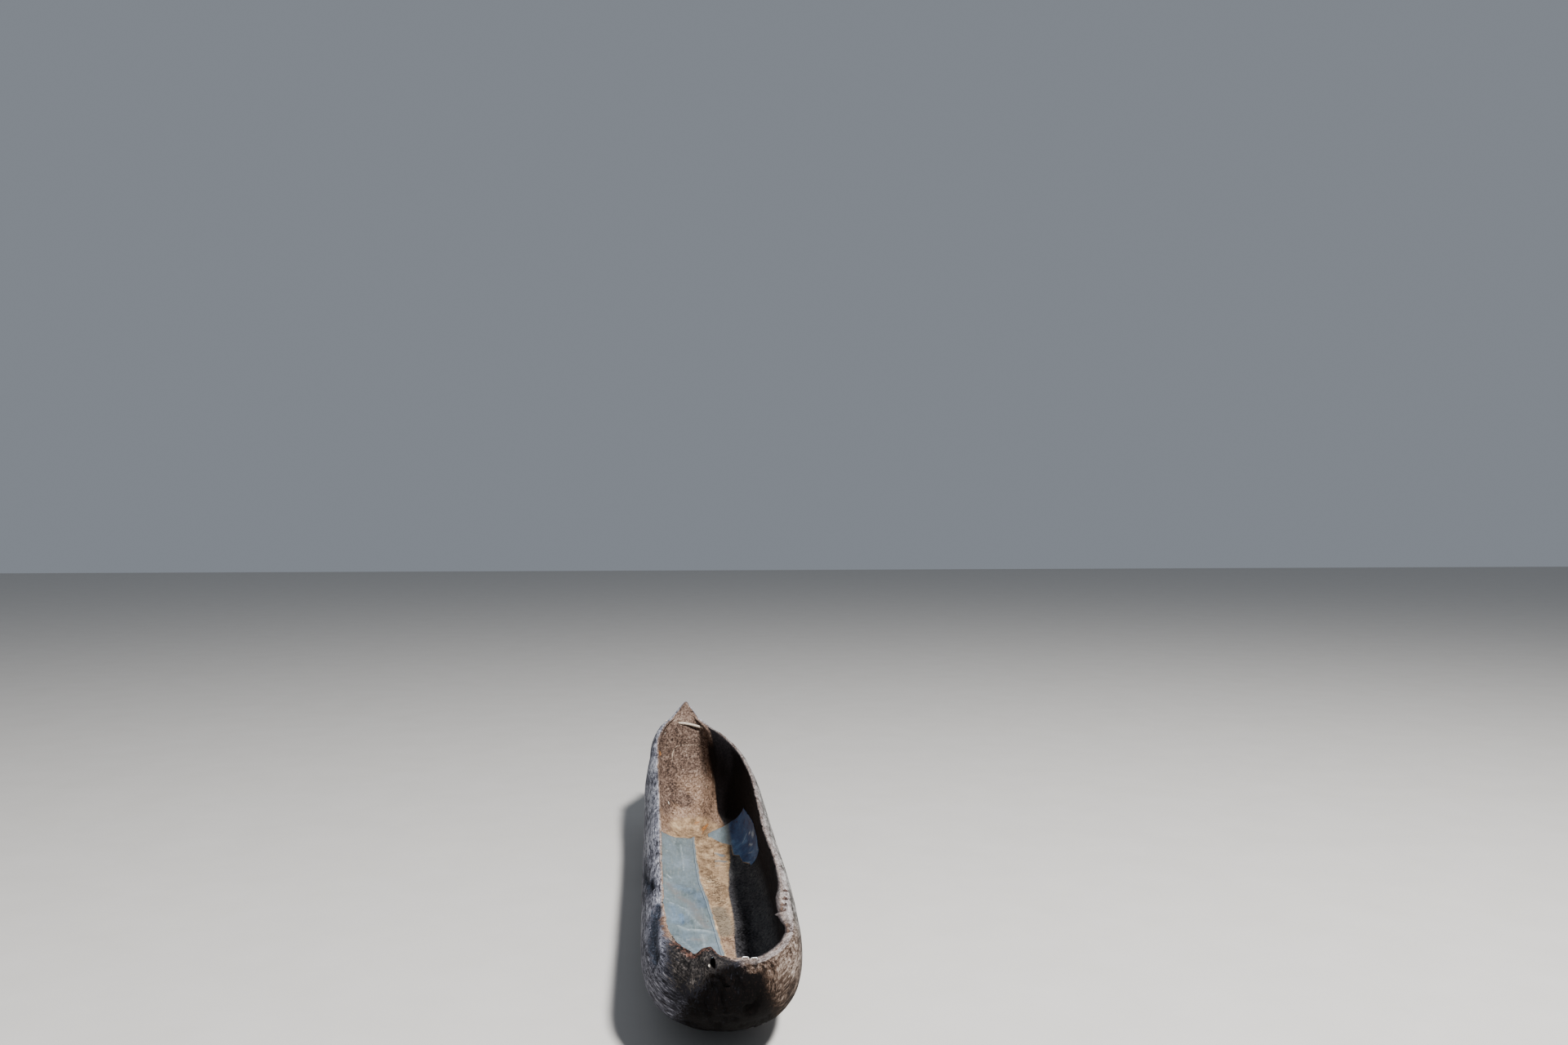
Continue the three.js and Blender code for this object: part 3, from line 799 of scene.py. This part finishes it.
# The rim's worn top: pale and pinkish on starboard, a paleness that is painted sunlight, with rotten pits,
# and a pale line of painted light along the lip on port
sunlit_pale = shifted(tone, (speck, 0.35), (grit, 0.30), (mottle, 0.45), (forward, -0.05, 0.0))
sunlit_pale = graded(sunlit_pale, SUNLIT_RIM_STOPS)
wood = coated(
    wood,
    (times(broken(mask["rim"], speck, 0.6), times(mask["sunny"], 0.85)), sunlit_pale),
    (times(broken(mask["lip"], speck, 1.2), 0.8), sunlit_pale),
    (broken(mask["tanned"], speck, 1.4), graded(shifted(tone, (speck, 0.5)), TAN_STOPS)),
    (broken(mask["rotten"], pitted, 0.8), graded(shifted(tone, (grit, 0.6)), PIT_STOPS)),
)

# Inside: brown, torn by the adze, sooty at the head of the bow's ramp, and lighter in a painted band of light
# along the shadow's edge on the ramp
grainy = shifted(speck, (mottle, 0.45), (blotch, 0.25), (grit, 0.15), (tone, 0.12))
cut_wood, soot = graded(grainy, CUT_STOPS), graded(grainy, SOOT_STOPS)
cut_wood = mixed(broken(mask["ramp"], mottle, 0.9), cut_wood, soot)

# The pale upper edge of the arch that is cut into the ramp, at |x|^4 + |z|^4 = 1 in its own half-widths
powers = []
for axis, middle, half in zip((0, 2), (ARCH_MIDDLE[0] - ORIGIN[0], ARCH_MIDDLE[1]), ARCH_REACH):
    away = sums("ABSOLUTE", sums("DIVIDE", sums("SUBTRACT", at[axis], middle), half))
    powers.append(sums("POWER", away, 4.0))
bend = clouds(place, (30, 30, 30), 2.0)
from_arch = sums("ADD", sums("POWER", sums("ADD", *powers), 0.25), times(bend, 0.16))
from_arch = sums("ABSOLUTE", sums("SUBTRACT", from_arch, 1.08))
upper = eased(shifted(at[2], (at[0], -0.25, -0.04)), 0.405, 0.45)
ledge = times(eased(from_arch, 0.030, 0.008), upper)
ledge = times(ledge, eased(shifted(speck, (mottle, 0.6)), 0.38, 0.50))

# Painted shadow over the starboard half of the hollow: bluish on the floor, nearly black on the wall, deepest
# aft near its edge and darker towards the bow
painted_shade = graded(shifted(tone, (eased(at[1], 0.5, 1.1), -0.16, 0.0)), SHADED_WALL_STOPS)
shaded_floor = graded(shifted(grainy, (mask["deepest_shade"], -0.20, 0.0)), SHADED_FLOOR_STOPS)
painted_shade = mixed(eased(at[2], 0.16, 0.09), painted_shade, shaded_floor)
cut_wood = coated(
    cut_wood,
    (times(ledge, mask["ramp"]), LEDGE_PAINT),
    (broken(mask["painted_shade"], mottle, 0.25), painted_shade),
)

# The stern: a charred crest, darker on its port half with painted shade, and red-brown lobes over the chin,
# black with rot and with painted shade
stern_tone = shifted(tone, (speck, 0.5), (grit, 0.25))
wood = coated(
    wood,
    (mask["inside"], cut_wood),
    (broken(mask["crest"], torn, 1.2), graded(stern_tone, CHAR_AND_SHADE_STOPS)),
    (times(broken(mask["lobes"], pitted, 1.4), 0.85), graded(stern_tone, LOBE_STOPS)),
    (broken(mask["chin"], frayed, 1.3), graded(stern_tone, ROT_AND_SHADE_STOPS)),
    (mask["split"], SPLIT_PAINT),
)

# Sand on the floor, trodden darker amidships, with rust from the nails and pale chips
sand = grouped("sand_dust", {"Place": place, "Amount": mask["dust"]})
on_sand = eased(mask["dust"], 0.0, 0.3)
dirty = eased(shifted(speck, (grit, 0.4), (mask["trodden"], 0.15, 0.0)), 0.58, 0.70)
soft = times(eased(mask["soaked"], 0.1, 0.8), on_sand, 0.85)
wood = coated(
    wood,
    (sand["Cover"], sand["Colour"]),
    (times(dirty, on_sand), mixed(eased(grit, 0.4, 0.6), *DIRT_PAINTS)),
    (soft, mixed(eased(grainy, 0.4, 0.6), *SOAKED_PAINTS)),
    (broken(mask["rust"], speck, 1.8), mixed(eased(grit, 0.42, 0.60), *RUST_PAINTS)),
    (broken(mask["pale_bits"], grit, 0.6), CHIP_PAINT),
)
link_all(shader, {
    "Base Color": wood,
    "Roughness": eased(tone, 0.3, 0.7, 0.78, 0.95),
    "Normal": relief(shifted(height, (speck, 0.5), (grit, 0.2)), 0.0045),
})
shader.inputs["Specular IOR Level"].default_value = 0.06
hull.data.materials.clear()
hull.data.materials.append(material)
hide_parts("hull")
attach(hull, "root")


# The port patch: one long sheet of dull grey-blue metal, laid on the floor and bent up the bilge, nailed to
# the wood through its edges. It is thin, so it is creased, and its inboard edge is turned into a narrow hem.
PORT_INBOARD = [
    (0.560, 0.046), (0.900, 0.039), (1.161, 0.029), (1.398, 0.019), (1.694, 0.003), (1.999, -0.020),
    (2.300, -0.026), (2.872, -0.027),
]
PORT_FORE = [(0.0, 2.868), (0.45, 2.790), (0.62, 2.750), (1.0, 2.752)]
PORT_AFT = [(0.0, 0.560)]
PORT_TOP = [(0.0, 0.255)]
PORT_STEPS = (300, 64)
KEEL_OVERLAP = 14
WALL_LEVELS = np.linspace(0.45, 3.0, 260)
EDGE_WANDER = 0.005
END_WANDER = 0.012
SHEET_LIFT = 0.0015
SHEET_THICKNESS = 0.001
BRIDGING_PASSES = 6
DENT_HEIGHT = 0.004
HEM_WIDTH = 0.020
HEM_HEIGHT = 0.0030
# Each crease: its line in plan, its width, its rise and how bright its painted highlight is
PORT_CREASES = [
    ([(-0.112, 2.703), (-0.104, 2.451), (-0.106, 2.235)], 0.0035, 0.005, 0.55),
    ([(-0.104, 2.451), (-0.076, 2.425)], 0.0035, 0.003, 0.5),
    ([(-0.182, 1.697), (-0.115, 1.635), (-0.096, 1.540), (-0.060, 1.400)], 0.007, 0.007, 0.35),
    ([(-0.160, 1.700), (-0.140, 1.642), (-0.130, 1.548), (-0.126, 1.474), (-0.116, 1.402)], 0.01, 0.006, 0.0),
    ([(-0.15, 1.400), (-0.111, 1.355), (-0.071, 1.345), (-0.037, 1.332), (-0.002, 1.305)], 0.008, 0.006, 0.5),
    ([(-0.200, 2.050), (-0.150, 1.990), (-0.090, 1.930)], 0.014, 0.004, 0.10),
    ([(-0.160, 1.250), (-0.110, 1.120), (-0.070, 0.980)], 0.014, 0.006, 0.25),
    ([(-0.050, 1.280), (-0.048, 1.150), (-0.060, 0.950)], 0.010, 0.006, 0.40),
    ([(-0.134, 1.620), (-0.130, 1.500), (-0.127, 1.400)], 0.016, -0.0015, 0.0),
    ([(-0.190, 2.120), (-0.172, 2.080)], 0.004, 0.001, 1.0),
]
# Tarnished places, and bluish places of painted shade and sky reflection: a line in plan, its width and how
# strong it is
PORT_TARNISH = [
    ([(-0.135, 1.81), (-0.080, 1.70), (-0.050, 1.47), (-0.030, 1.38)], 0.020, 1.0),
    ([(-0.185, 1.99), (-0.150, 1.86)], 0.022, 1.0),
    ([(-0.090, 1.24), (-0.050, 1.21)], 0.016, 1.0),
]
PORT_SHADE_AND_SKY = [
    ([(-0.130, 1.97), (-0.050, 1.84), (-0.025, 1.67)], 0.034, 0.26),
    ([(-0.170, 1.66), (-0.160, 1.45)], 0.030, 0.25),
    ([(-0.120, 1.55), (-0.100, 1.42)], 0.014, 0.18),
    ([(-0.140, 1.30), (-0.10, 1.0), (-0.06, 0.70)], 0.060, 0.16),
    ([(-0.135, 1.56), (-0.128, 1.43)], 0.009, 0.40),
]
PORT_GLINTS = [
    (-0.144, 2.725), (-0.170, 2.649), (-0.186, 2.524), (-0.171, 2.097), (-0.157, 1.937), (-0.197, 1.871),
    (-0.194, 1.752), (-0.113, 1.233), (-0.154, 1.263), (-0.044, 1.344),
]
GLINT_WIDTH = 0.0045
DULL_STOPS = [
    (0.34, (100, 112, 114)), (0.46, (120, 133, 137)), (0.56, (133, 147, 154)), (0.68, (152, 167, 177)),
]
SHADE_AND_SKY_STOPS = [(0.34, (26, 58, 98)), (0.50, (48, 92, 142)), (0.66, (92, 138, 184))]
TARNISH_PAINT = paint(136, 130, 126)
STREAK_PAINT = paint(176, 180, 172)
HIGHLIGHT_AND_SCRATCH_PAINT = paint(214, 226, 230)
# The fold of the hem: a dark line of painted shade with a pale line of painted highlight inboard of it, as
# place, width, share and paint
HEM_SHADE_AND_HIGHLIGHT = [
    (HEM_WIDTH, 0.0022, 0.75, paint(70, 84, 104)),
    (HEM_WIDTH - 0.0042, 0.0026, 0.55, paint(176, 188, 192)),
]
BARE_ROUGHNESS = 0.42
SANDY_ROUGHNESS = 0.95


def along_rows(fields, rows):
    """Values at fractional row numbers, one row number for each column of an array of rows by columns."""
    low = np.clip(np.floor(rows).astype(int), 0, fields.shape[0] - 2)
    across = np.arange(fields.shape[1])
    part = (rows - low)[..., None]
    return fields[low, across] * (1 - part) + fields[low + 1, across] * part


def wall_patch(side, inboard, top, aft, fore, steps, seed):
    """A piece of the inner wall as rows of points, normals and depths. Each section at one y is cut where
    it passes the inboard x on the floor and the top's z on the side, with even columns between. The rows then
    run from the aft line to the fore line. All edges but the aft one wander by a few millimetres."""
    columns = np.arange(half_count + KEEL_OVERLAP, OUTER_STEPS + RIM_STEPS, -1)
    columns = columns if side < 0 else (2 * half_count - columns) % (2 * half_count)
    fields = np.concatenate([skin, normal, depth[..., None]], -1)[:, columns]
    levels = WALL_LEVELS
    stations = np.arange(STATIONS + 1)
    rows = np.stack([np.interp(levels, fields[:, k, 1], stations) for k in range(len(columns))], 1)
    sections = along_rows(fields, rows)
    ripple = lattice_noise(levels[:, None] * np.ones(3), 0.045, seed, 3) - 0.5
    edge = line_at(levels, inboard) + EDGE_WANDER * ripple
    low = sections.shape[1] * 2 // 3
    first = [np.interp(side * e, side * s[:low, 0], np.arange(low)) for e, s in zip(edge, sections)]
    crown = line_at(levels, top) + END_WANDER * ripple[::-1]
    last = [np.interp(c, s[:, 2], np.arange(s.shape[0])) for c, s in zip(crown, sections)]
    across = np.linspace(0, 1, steps[1] + 1)
    place = np.array(first)[:, None] + (np.array(last) - first)[:, None] * across
    patch = along_rows(sections.swapaxes(0, 1), place.T).swapaxes(0, 1)
    first_y, last_y = line_at(across, aft), line_at(across, fore)
    last_y = last_y + END_WANDER * (lattice_noise(across[:, None] * np.ones(3), 0.07, seed + 5, 3) - 0.5)
    y_rows = first_y + (last_y - first_y) * np.linspace(0, 1, steps[0] + 1)[:, None]
    return along_rows(patch, (y_rows - levels[0]) / (levels[1] - levels[0]))


def nailed_sheet(patch, raised):
    """Points and faces of a sheet over a patch of the wall: it bridges the hollows of the wood, as blurs of
    its height and never lower, and is raised by its own folds."""
    bridged = height = -patch[..., 6]
    for _ in range(BRIDGING_PASSES):
        padded = np.pad(bridged, 1, mode="edge")
        bridged = (padded[:-2, 1:-1] + padded[2:, 1:-1] + padded[1:-1, :-2] + padded[1:-1, 2:]) / 4
    height = np.maximum(bridged, height) + SHEET_LIFT + raised
    points = patch[..., :3] + patch[..., 3:6] * height[..., None]
    number = np.arange(points[..., 0].size).reshape(points.shape[:2])
    faces = np.stack([number[:-1, :-1], number[:-1, 1:], number[1:, 1:], number[1:, :-1]], -1).reshape(-1, 4)
    ahead, beside = np.gradient(points, axis=0), np.gradient(points, axis=1)
    if (np.cross(beside, ahead) * patch[..., 3:6]).sum() < 0:
        faces = faces[:, ::-1]
    return points, faces


def drawn(patch, line, width):
    """1 on a line that is drawn on a patch in plan and less away from it."""
    return near_line(patch[..., :3] * (1, 1, 0), [(*point, 0) for point in line], width)


def dented(patch, cell, seed):
    """The height of shallow dents over a patch."""
    return DENT_HEIGHT * smooth_step(lattice_noise(patch[..., :3] * (1, 1, 0), cell, seed, 3), 0.45, 0.8)


patch = wall_patch(-1, PORT_INBOARD, PORT_TOP, PORT_AFT, PORT_FORE, PORT_STEPS, 61)
raised = dented(patch, (0.09, 0.16, 1), 67)
highlights_and_scratches = 0 * raised
for line, width, rise, rubbed in PORT_CREASES:
    ridge = drawn(patch, line, width)
    raised += rise * ridge
    highlights_and_scratches = np.maximum(highlights_and_scratches, ridge * rubbed)
for spot in PORT_GLINTS:
    highlights_and_scratches = np.maximum(highlights_and_scratches, drawn(patch, [spot, (spot[0] + 0.001, spot[1])], GLINT_WIDTH))
tarnish, shade_and_sky_patches = [
    sum(drawn(patch, line, width) * share for line, width, share in places)
    for places in (PORT_TARNISH, PORT_SHADE_AND_SKY)
]
from_edge = np.linalg.norm(np.diff(patch[..., :3], axis=1, prepend=patch[:, :1, :3]), axis=-1).cumsum(1)
raised += HEM_HEIGHT * smooth_step(from_edge, HEM_WIDTH + 0.002, HEM_WIDTH - 0.002)
points, faces = nailed_sheet(patch, raised)
sheet_dust = smooth_step(from_edge, HEM_WIDTH, 0.0) * 0.75
sheet_masks = {
    "highlights_and_scratches": highlights_and_scratches, "dust": sheet_dust, "shade_and_sky": shade_and_sky_patches, "from_edge": from_edge, "tarnish": tarnish,
}
port_sheet = fill_mesh("port_sheet", (points - ORIGIN).reshape(-1, 3), faces, sheet_masks)

patch_metal, shader, place = new_material("patch_metal")
mask = masks_of(patch_metal, sheet_masks)
clouded = clouds(place, (9, 5, 9), 5.0, 0.6)
fine = clouds(place, (70, 50, 70), 4.0, 0.7)
scratch = clouds(place, (420, 26, 420), 2.0, 0.5)
streaky = clouds(place, (90, 8, 90), 3.0)
worn = shifted(clouded, (fine, 0.35), (scratch, 0.15))
# Painted shade and sky reflection lie in the bluish places
metal = coated(
    graded(worn, DULL_STOPS),
    (times(mask["tarnish"], eased(fine, 0.35, 0.65, 0.3, 0.9)), TARNISH_PAINT),
    (eased(streaky, 0.50, 0.68, 0.0, 0.25), STREAK_PAINT),
    (mask["shade_and_sky"], graded(worn, SHADE_AND_SKY_STOPS)),
)
for middle, width, share, line_paint in HEM_SHADE_AND_HIGHLIGHT:
    away = sums("ABSOLUTE", sums("SUBTRACT", mask["from_edge"], middle))
    metal = mixed(times(eased(away, width, width / 3), share), metal, line_paint)
sand = grouped("sand_dust", {"Place": place, "Amount": mask["dust"]})
# Painted highlights on the creases and glints, bright scratches, and sand over all
metal = coated(
    metal,
    (times(mask["highlights_and_scratches"], eased(fine, 0.35, 0.65, 0.35, 0.85)), HIGHLIGHT_AND_SCRATCH_PAINT),
    (sand["Cover"], sand["Colour"]),
)
bare = times(sums("SUBTRACT", 1.0, sand["Cover"]), eased(mask["shade_and_sky"], 0.0, 1.0, 1.0, 0.3))
bare = times(bare, eased(clouded, 0.3, 0.7, 0.25, 0.5))
rough = blended(sand["Cover"], BARE_ROUGHNESS, SANDY_ROUGHNESS)
rough = sums("ADD", rough, times(fine, 0.15))
ripples = relief(plus((clouded, 0.7), (fine, 0.3)), 0.006, 0.6)
link_all(shader, {"Base Color": metal, "Metallic": bare, "Roughness": rough, "Normal": ripples})
shader.inputs["Specular IOR Level"].default_value = 0.25


def finish_sheet(sheet, node):
    """Gives a sheet its thickness, its metal and the node that it replaces."""
    step = sheet.modifiers.new("thickness", "SOLIDIFY")
    step.thickness, step.offset = SHEET_THICKNESS, -1
    sheet.data.materials.append(patch_metal)
    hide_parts(node)
    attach(sheet, "root")


finish_sheet(port_sheet, "port_patch")


# The starboard patch: a shorter sheet of the same metal, more scuffed, on the starboard bilge; up the wall it
# is painted dark blue, painted shade with the sky's reflection. Sand hides most of the strip that lies on the
# floor, but for a wedge at its fore end and three rubbed strokes.
STARBOARD_INBOARD = [(2.15, 0.052), (2.262, 0.052), (2.560, 0.060), (2.880, 0.046)]
STARBOARD_FORE = [
    (0.0, 2.895), (0.14, 2.912), (0.30, 2.908), (0.45, 2.900), (0.60, 2.885), (0.80, 2.838), (1.0, 2.790),
]
STARBOARD_AFT = [(0.0, 2.262), (0.24, 2.240), (0.55, 2.190), (1.0, 2.178)]
STARBOARD_TOP = [(2.10, 0.165), (2.19, 0.174), (2.475, 0.226), (2.784, 0.239), (2.90, 0.245)]
STARBOARD_STEPS = (120, 60)
DIRT_FORE = [(0.130, 2.30), (0.148, 2.491), (0.187, 2.423), (0.195, 2.310), (0.226, 2.220), (0.235, 1.9)]
SUNK_IN_SAND = 0.006
WEDGE_AFT = [(0.046, 2.845), (0.062, 2.833), (0.117, 2.698), (0.157, 2.631)]
FLOOR_STRIP = (0.150, 0.172)
RUBBED_STROKES = [
    [(0.070, 2.530), (0.104, 2.475)], [(0.076, 2.395), (0.112, 2.370)], [(0.066, 2.295), (0.100, 2.255)],
]
STROKE_WIDTH = 0.024
SCRATCH_RISE = 0.001
STARBOARD_SCRATCHES = [
    ([(0.262, 2.50), (0.266, 2.44)], 0.003), ([(0.245, 2.46), (0.256, 2.40)], 0.003),
    ([(0.205, 2.28), (0.228, 2.235)], 0.004), ([(0.215, 2.56), (0.24, 2.60)], 0.0022),
    ([(0.252, 2.56), (0.258, 2.53)], 0.0025), ([(0.235, 2.36), (0.25, 2.33)], 0.0025),
]
patch = wall_patch(1, STARBOARD_INBOARD, STARBOARD_TOP, STARBOARD_AFT, STARBOARD_FORE, STARBOARD_STEPS, 71)
raised = dented(patch, (0.08, 0.12, 1), 73)
scuffs = 0 * raised
for line, width in STARBOARD_SCRATCHES:
    scuffs = np.maximum(scuffs, drawn(patch, line, width))
points, faces = nailed_sheet(patch, raised + SCRATCH_RISE * scuffs)
wedge = smooth_step(points[..., 1] - line_at(points[..., 0], WEDGE_AFT), -0.012, 0.012)
behind = smooth_step(points[..., 1] - line_at(points[..., 0], DIRT_FORE), 0.02, -0.02)
rubbed = np.clip(sum(drawn(patch, line, STROKE_WIDTH) for line in RUBBED_STROKES), 0, 1)
on_floor = smooth_step(points[..., 0], *FLOOR_STRIP[::-1])
sheet_dust = np.maximum(on_floor * (1 - 0.62 * rubbed), behind) * (1 - wedge)
points -= patch[..., 3:6] * SUNK_IN_SAND * smooth_step(sheet_dust, 0.85, 1.0)[..., None]
# Up the wall the sheet is painted dark blue: painted shade with the sky's reflection in it
sheet_masks = {
    "highlights_and_scratches": scuffs, "dust": sheet_dust, "shade_and_sky": smooth_step(points[..., 0], *FLOOR_STRIP),
    "from_edge": sheet_dust + 1, "tarnish": rubbed * 0.8,
}
starboard_sheet = fill_mesh("starboard_sheet", (points - ORIGIN).reshape(-1, 3), faces, sheet_masks)
finish_sheet(starboard_sheet, "starboard_patch")


# The nails of both patches: short iron clouts driven through the sheet's edge, their low round heads bright
# where they have been rubbed. Each head stands on the metal and its shank goes into the wood.
NAIL_RADIUS = 0.0042
NAIL_PROFILE = [(-0.012, 0.3), (-0.0015, 0.34), (-0.001, 0.95), (0.0004, 1.0), (0.0012, 0.72), (0.0016, 0.30)]
NAIL_SIDES = 12
# Rows of nails, as the sheet, its columns in a row, and the rows and columns at which the nails stand
NAIL_ROWS = [
    (port_sheet, PORT_STEPS[1] + 1, (6, 60, 118, 176, 234, 292), (5, 61)),
    (port_sheet, PORT_STEPS[1] + 1, (294,), (22, 42)),
    (port_sheet, PORT_STEPS[1] + 1, (5,), (24, 44)),
    (starboard_sheet, STARBOARD_STEPS[1] + 1, (6, 42, 78, 112), (57,)),
    (starboard_sheet, STARBOARD_STEPS[1] + 1, (114,), (18, 38)),
    (starboard_sheet, STARBOARD_STEPS[1] + 1, (5,), (30, 46)),
]


def joined(bars):
    """Several bars as one list of points and one of faces."""
    points, faces, already = [], [], 0
    for bar_points, bar_faces in bars:
        points.append(bar_points)
        faces += [[corner + already for corner in face] for face in bar_faces]
        already += len(bar_points)
    return np.concatenate(points), faces


nails = []
for sheet, width, rows, columns in NAIL_ROWS:
    for seat in [sheet.data.vertices[row * width + column] for row in rows for column in columns]:
        path = [np.array(seat.co) + np.array(seat.normal) * height for height, _ in NAIL_PROFILE]
        nails.append(round_bar(path, [share * NAIL_RADIUS for _, share in NAIL_PROFILE], NAIL_SIDES))
patch_nails = fill_mesh("patch_nails", *joined(nails))
material, shader, place = new_material("nail_iron")
patina = clouds(place, (60, 60, 60), 3.0)
link_all(shader, {
    "Base Color": mixed(eased(patina, 0.4, 0.6), paint(96, 84, 78), paint(170, 172, 172)),
    "Metallic": eased(patina, 0.35, 0.65, 0.3, 0.8),
    "Roughness": eased(patina, 0.35, 0.65, 0.75, 0.35),
    "Normal": relief(patina, 0.0008),
})
patch_nails.data.materials.append(material)
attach(patch_nails, "root")


# The mooring peg: a peeled stick, a little bent, driven through both cheeks of the bow below the tip, for the
# line to be made fast to. Its bark is gone but for some strips, and its ends are whittled round.
PEG_STEPS = 60
PEG_SIDES = 20
PEG_RADII = (0.0085, 0.0072)
PEG_BENDS = (0.006, -0.002)
PEG_KNOT_SHARE = 0.16
END_POWER = 24
END_RADIUS_SHARE = 0.07
PEG_TURN = np.radians(69)
t = np.linspace(0, 1, PEG_STEPS + 1)
ends = np.sqrt(np.clip(1 - np.abs(2 * t - 1) ** END_POWER, 0, 1)) * (1 - END_RADIUS_SHARE) + END_RADIUS_SHARE
peg_path = PEG_PORT + (PEG_STARBOARD - PEG_PORT) * t[:, None]
peg_path[:, 2] += PEG_BENDS[0] * np.sin(np.pi * t) ** 2 + PEG_BENDS[1] * np.sin(2 * np.pi * t) ** 2
knots = (lattice_noise(t[:, None] * np.ones(3), 0.09, 83, 2) - 0.5) * np.sin(np.pi * t) ** 2
peg_radii = (PEG_RADII[0] + (PEG_RADII[1] - PEG_RADII[0]) * t) * ends * (1 + PEG_KNOT_SHARE * knots)
points, faces = round_bar(peg_path, peg_radii, PEG_SIDES)
peg = fill_mesh("peg", points - ORIGIN, faces)
material, shader, place = new_material("peg_wood")
turned = shader_node("Mapping", {"Vector": place, "Rotation": (0, 0, PEG_TURN)}).outputs[0]
grain = grouped("log_grain", {"Place": turned, "Width": 2.2})
peeled = coated(
    mixed(eased(grain["Tone"], 0.40, 0.60), paint(168, 150, 130), paint(222, 208, 190)),
    (eased(clouds(turned, (30, 12, 30), 4.0), 0.60, 0.66), paint(104, 84, 70)),
    (grain["Checks"], paint(90, 74, 62)),
)
link_all(shader, {
    "Base Color": peeled,
    "Roughness": eased(grain["Tone"], 0.4, 0.6, 0.6, 0.85),
    "Normal": relief(grain["Height"], 0.0012),
})
peg.data.materials.append(material)
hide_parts("mooring_peg")
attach(peg, "root")


# Two wire staples hold the split in the stern's rim: bright steel wire bent to a narrow arch and beaten flat
# on top, its legs driven into the wood on each side.
STAPLES = [((0.031, 0.088, 0.395), (0.052, 0.092, 0.392)), ((0.060, 0.100, 0.392), (0.081, 0.100, 0.389))]
WIRE_RADIUS = 0.0021
WIRE_SIDES = 10
STAPLE_RISE = 0.005
STAPLE_POWER = 0.6
STAPLE_STEPS = 14
LEG_DEPTHS = (0.012, 0.004)
surface, outward = loop.reshape(-1, 3), normal.reshape(-1, 3)
turn = np.linspace(0, np.pi, STAPLE_STEPS)[:, None]
flat_top = np.sign(np.cos(turn)) * np.abs(np.cos(turn)) ** STAPLE_POWER
staples = []
for feet in STAPLES:
    nearest = [np.argmin(((surface - foot) ** 2).sum(-1)) for foot in feet]
    up = outward[nearest].mean(0) / np.linalg.norm(outward[nearest].mean(0))
    start, end = [np.array([foot[0], surface[i][1], surface[i][2]]) for foot, i in zip(feet, nearest)]
    arch = (start + end) / 2 - (end - start) / 2 * flat_top + up * STAPLE_RISE * np.sin(turn) ** STAPLE_POWER
    legs = [[foot - up * deep for deep in LEG_DEPTHS] for foot in (start, end)]
    path = np.concatenate([legs[0], arch, legs[1][::-1]])
    staples.append(round_bar(path, [WIRE_RADIUS] * len(path), WIRE_SIDES))
points, faces = joined(staples)
split_staples = fill_mesh("split_staples", points - ORIGIN, faces)
material, shader, place = new_material("bright_wire")
rubbed = clouds(place, (220, 220, 220), 3.0)
link_all(shader, {
    "Base Color": mixed(eased(rubbed, 0.4, 0.65), paint(224, 226, 226), paint(168, 160, 150)),
    "Metallic": eased(rubbed, 0.4, 0.65, 0.55, 0.25),
    "Roughness": eased(rubbed, 0.3, 0.7, 0.28, 0.55),
    "Normal": relief(rubbed, 0.0004),
})
split_staples.data.materials.append(material)
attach(split_staples, "root")


# The stage: a plain pale floor under soft studio light from high on starboard, seen from the photo's place
CAMERA_PLACE = (-0.26294, -5.6525, 1.81)
CAMERA_TURN = np.radians((90, 0, -6.19))
CAMERA_LENS = 27.656
FLOOR_REACH = 40
KEY_PLACE = (3.6, -7.4, 10.5)
KEY_SIZE = 1.3
KEY_WATTS = 4350
SKY_COLOUR = (0.80, 0.88, 1.0, 1)
SKY_STRENGTH = 0.28
floor_corners = np.array([[-1, -1, 0], [1, -1, 0], [1, 1, 0], [-1, 1, 0]]) * FLOOR_REACH
floor = fill_mesh("floor", floor_corners, [[0, 1, 2, 3]])
material, shader, place = new_material("studio_floor")
tint = clouds(place, (3, 3, 3), 3.0)
link_all(shader, {"Base Color": mixed(tint, paint(196, 192, 186), paint(206, 202, 197))})
shader.inputs["Roughness"].default_value = 0.9
floor.data.materials.append(material)
world = bpy.data.worlds.new("studio")
world.use_nodes = True
world.node_tree.nodes["Background"].inputs["Color"].default_value = SKY_COLOUR
world.node_tree.nodes["Background"].inputs["Strength"].default_value = SKY_STRENGTH
bpy.context.scene.world = world
lamp = bpy.data.objects.new("key", bpy.data.lights.new("key", "AREA"))
lamp.data.size, lamp.data.energy = KEY_SIZE, KEY_WATTS
lamp.location = KEY_PLACE
lamp.rotation_euler = (-Vector(KEY_PLACE)).to_track_quat("-Z", "Y").to_euler()
bpy.context.scene.collection.objects.link(lamp)
eye = bpy.data.objects.new("camera", bpy.data.cameras.new("camera"))
eye.location, eye.rotation_euler = CAMERA_PLACE, CAMERA_TURN
eye.data.lens = CAMERA_LENS
bpy.context.scene.collection.objects.link(eye)
bpy.context.scene.camera = eye
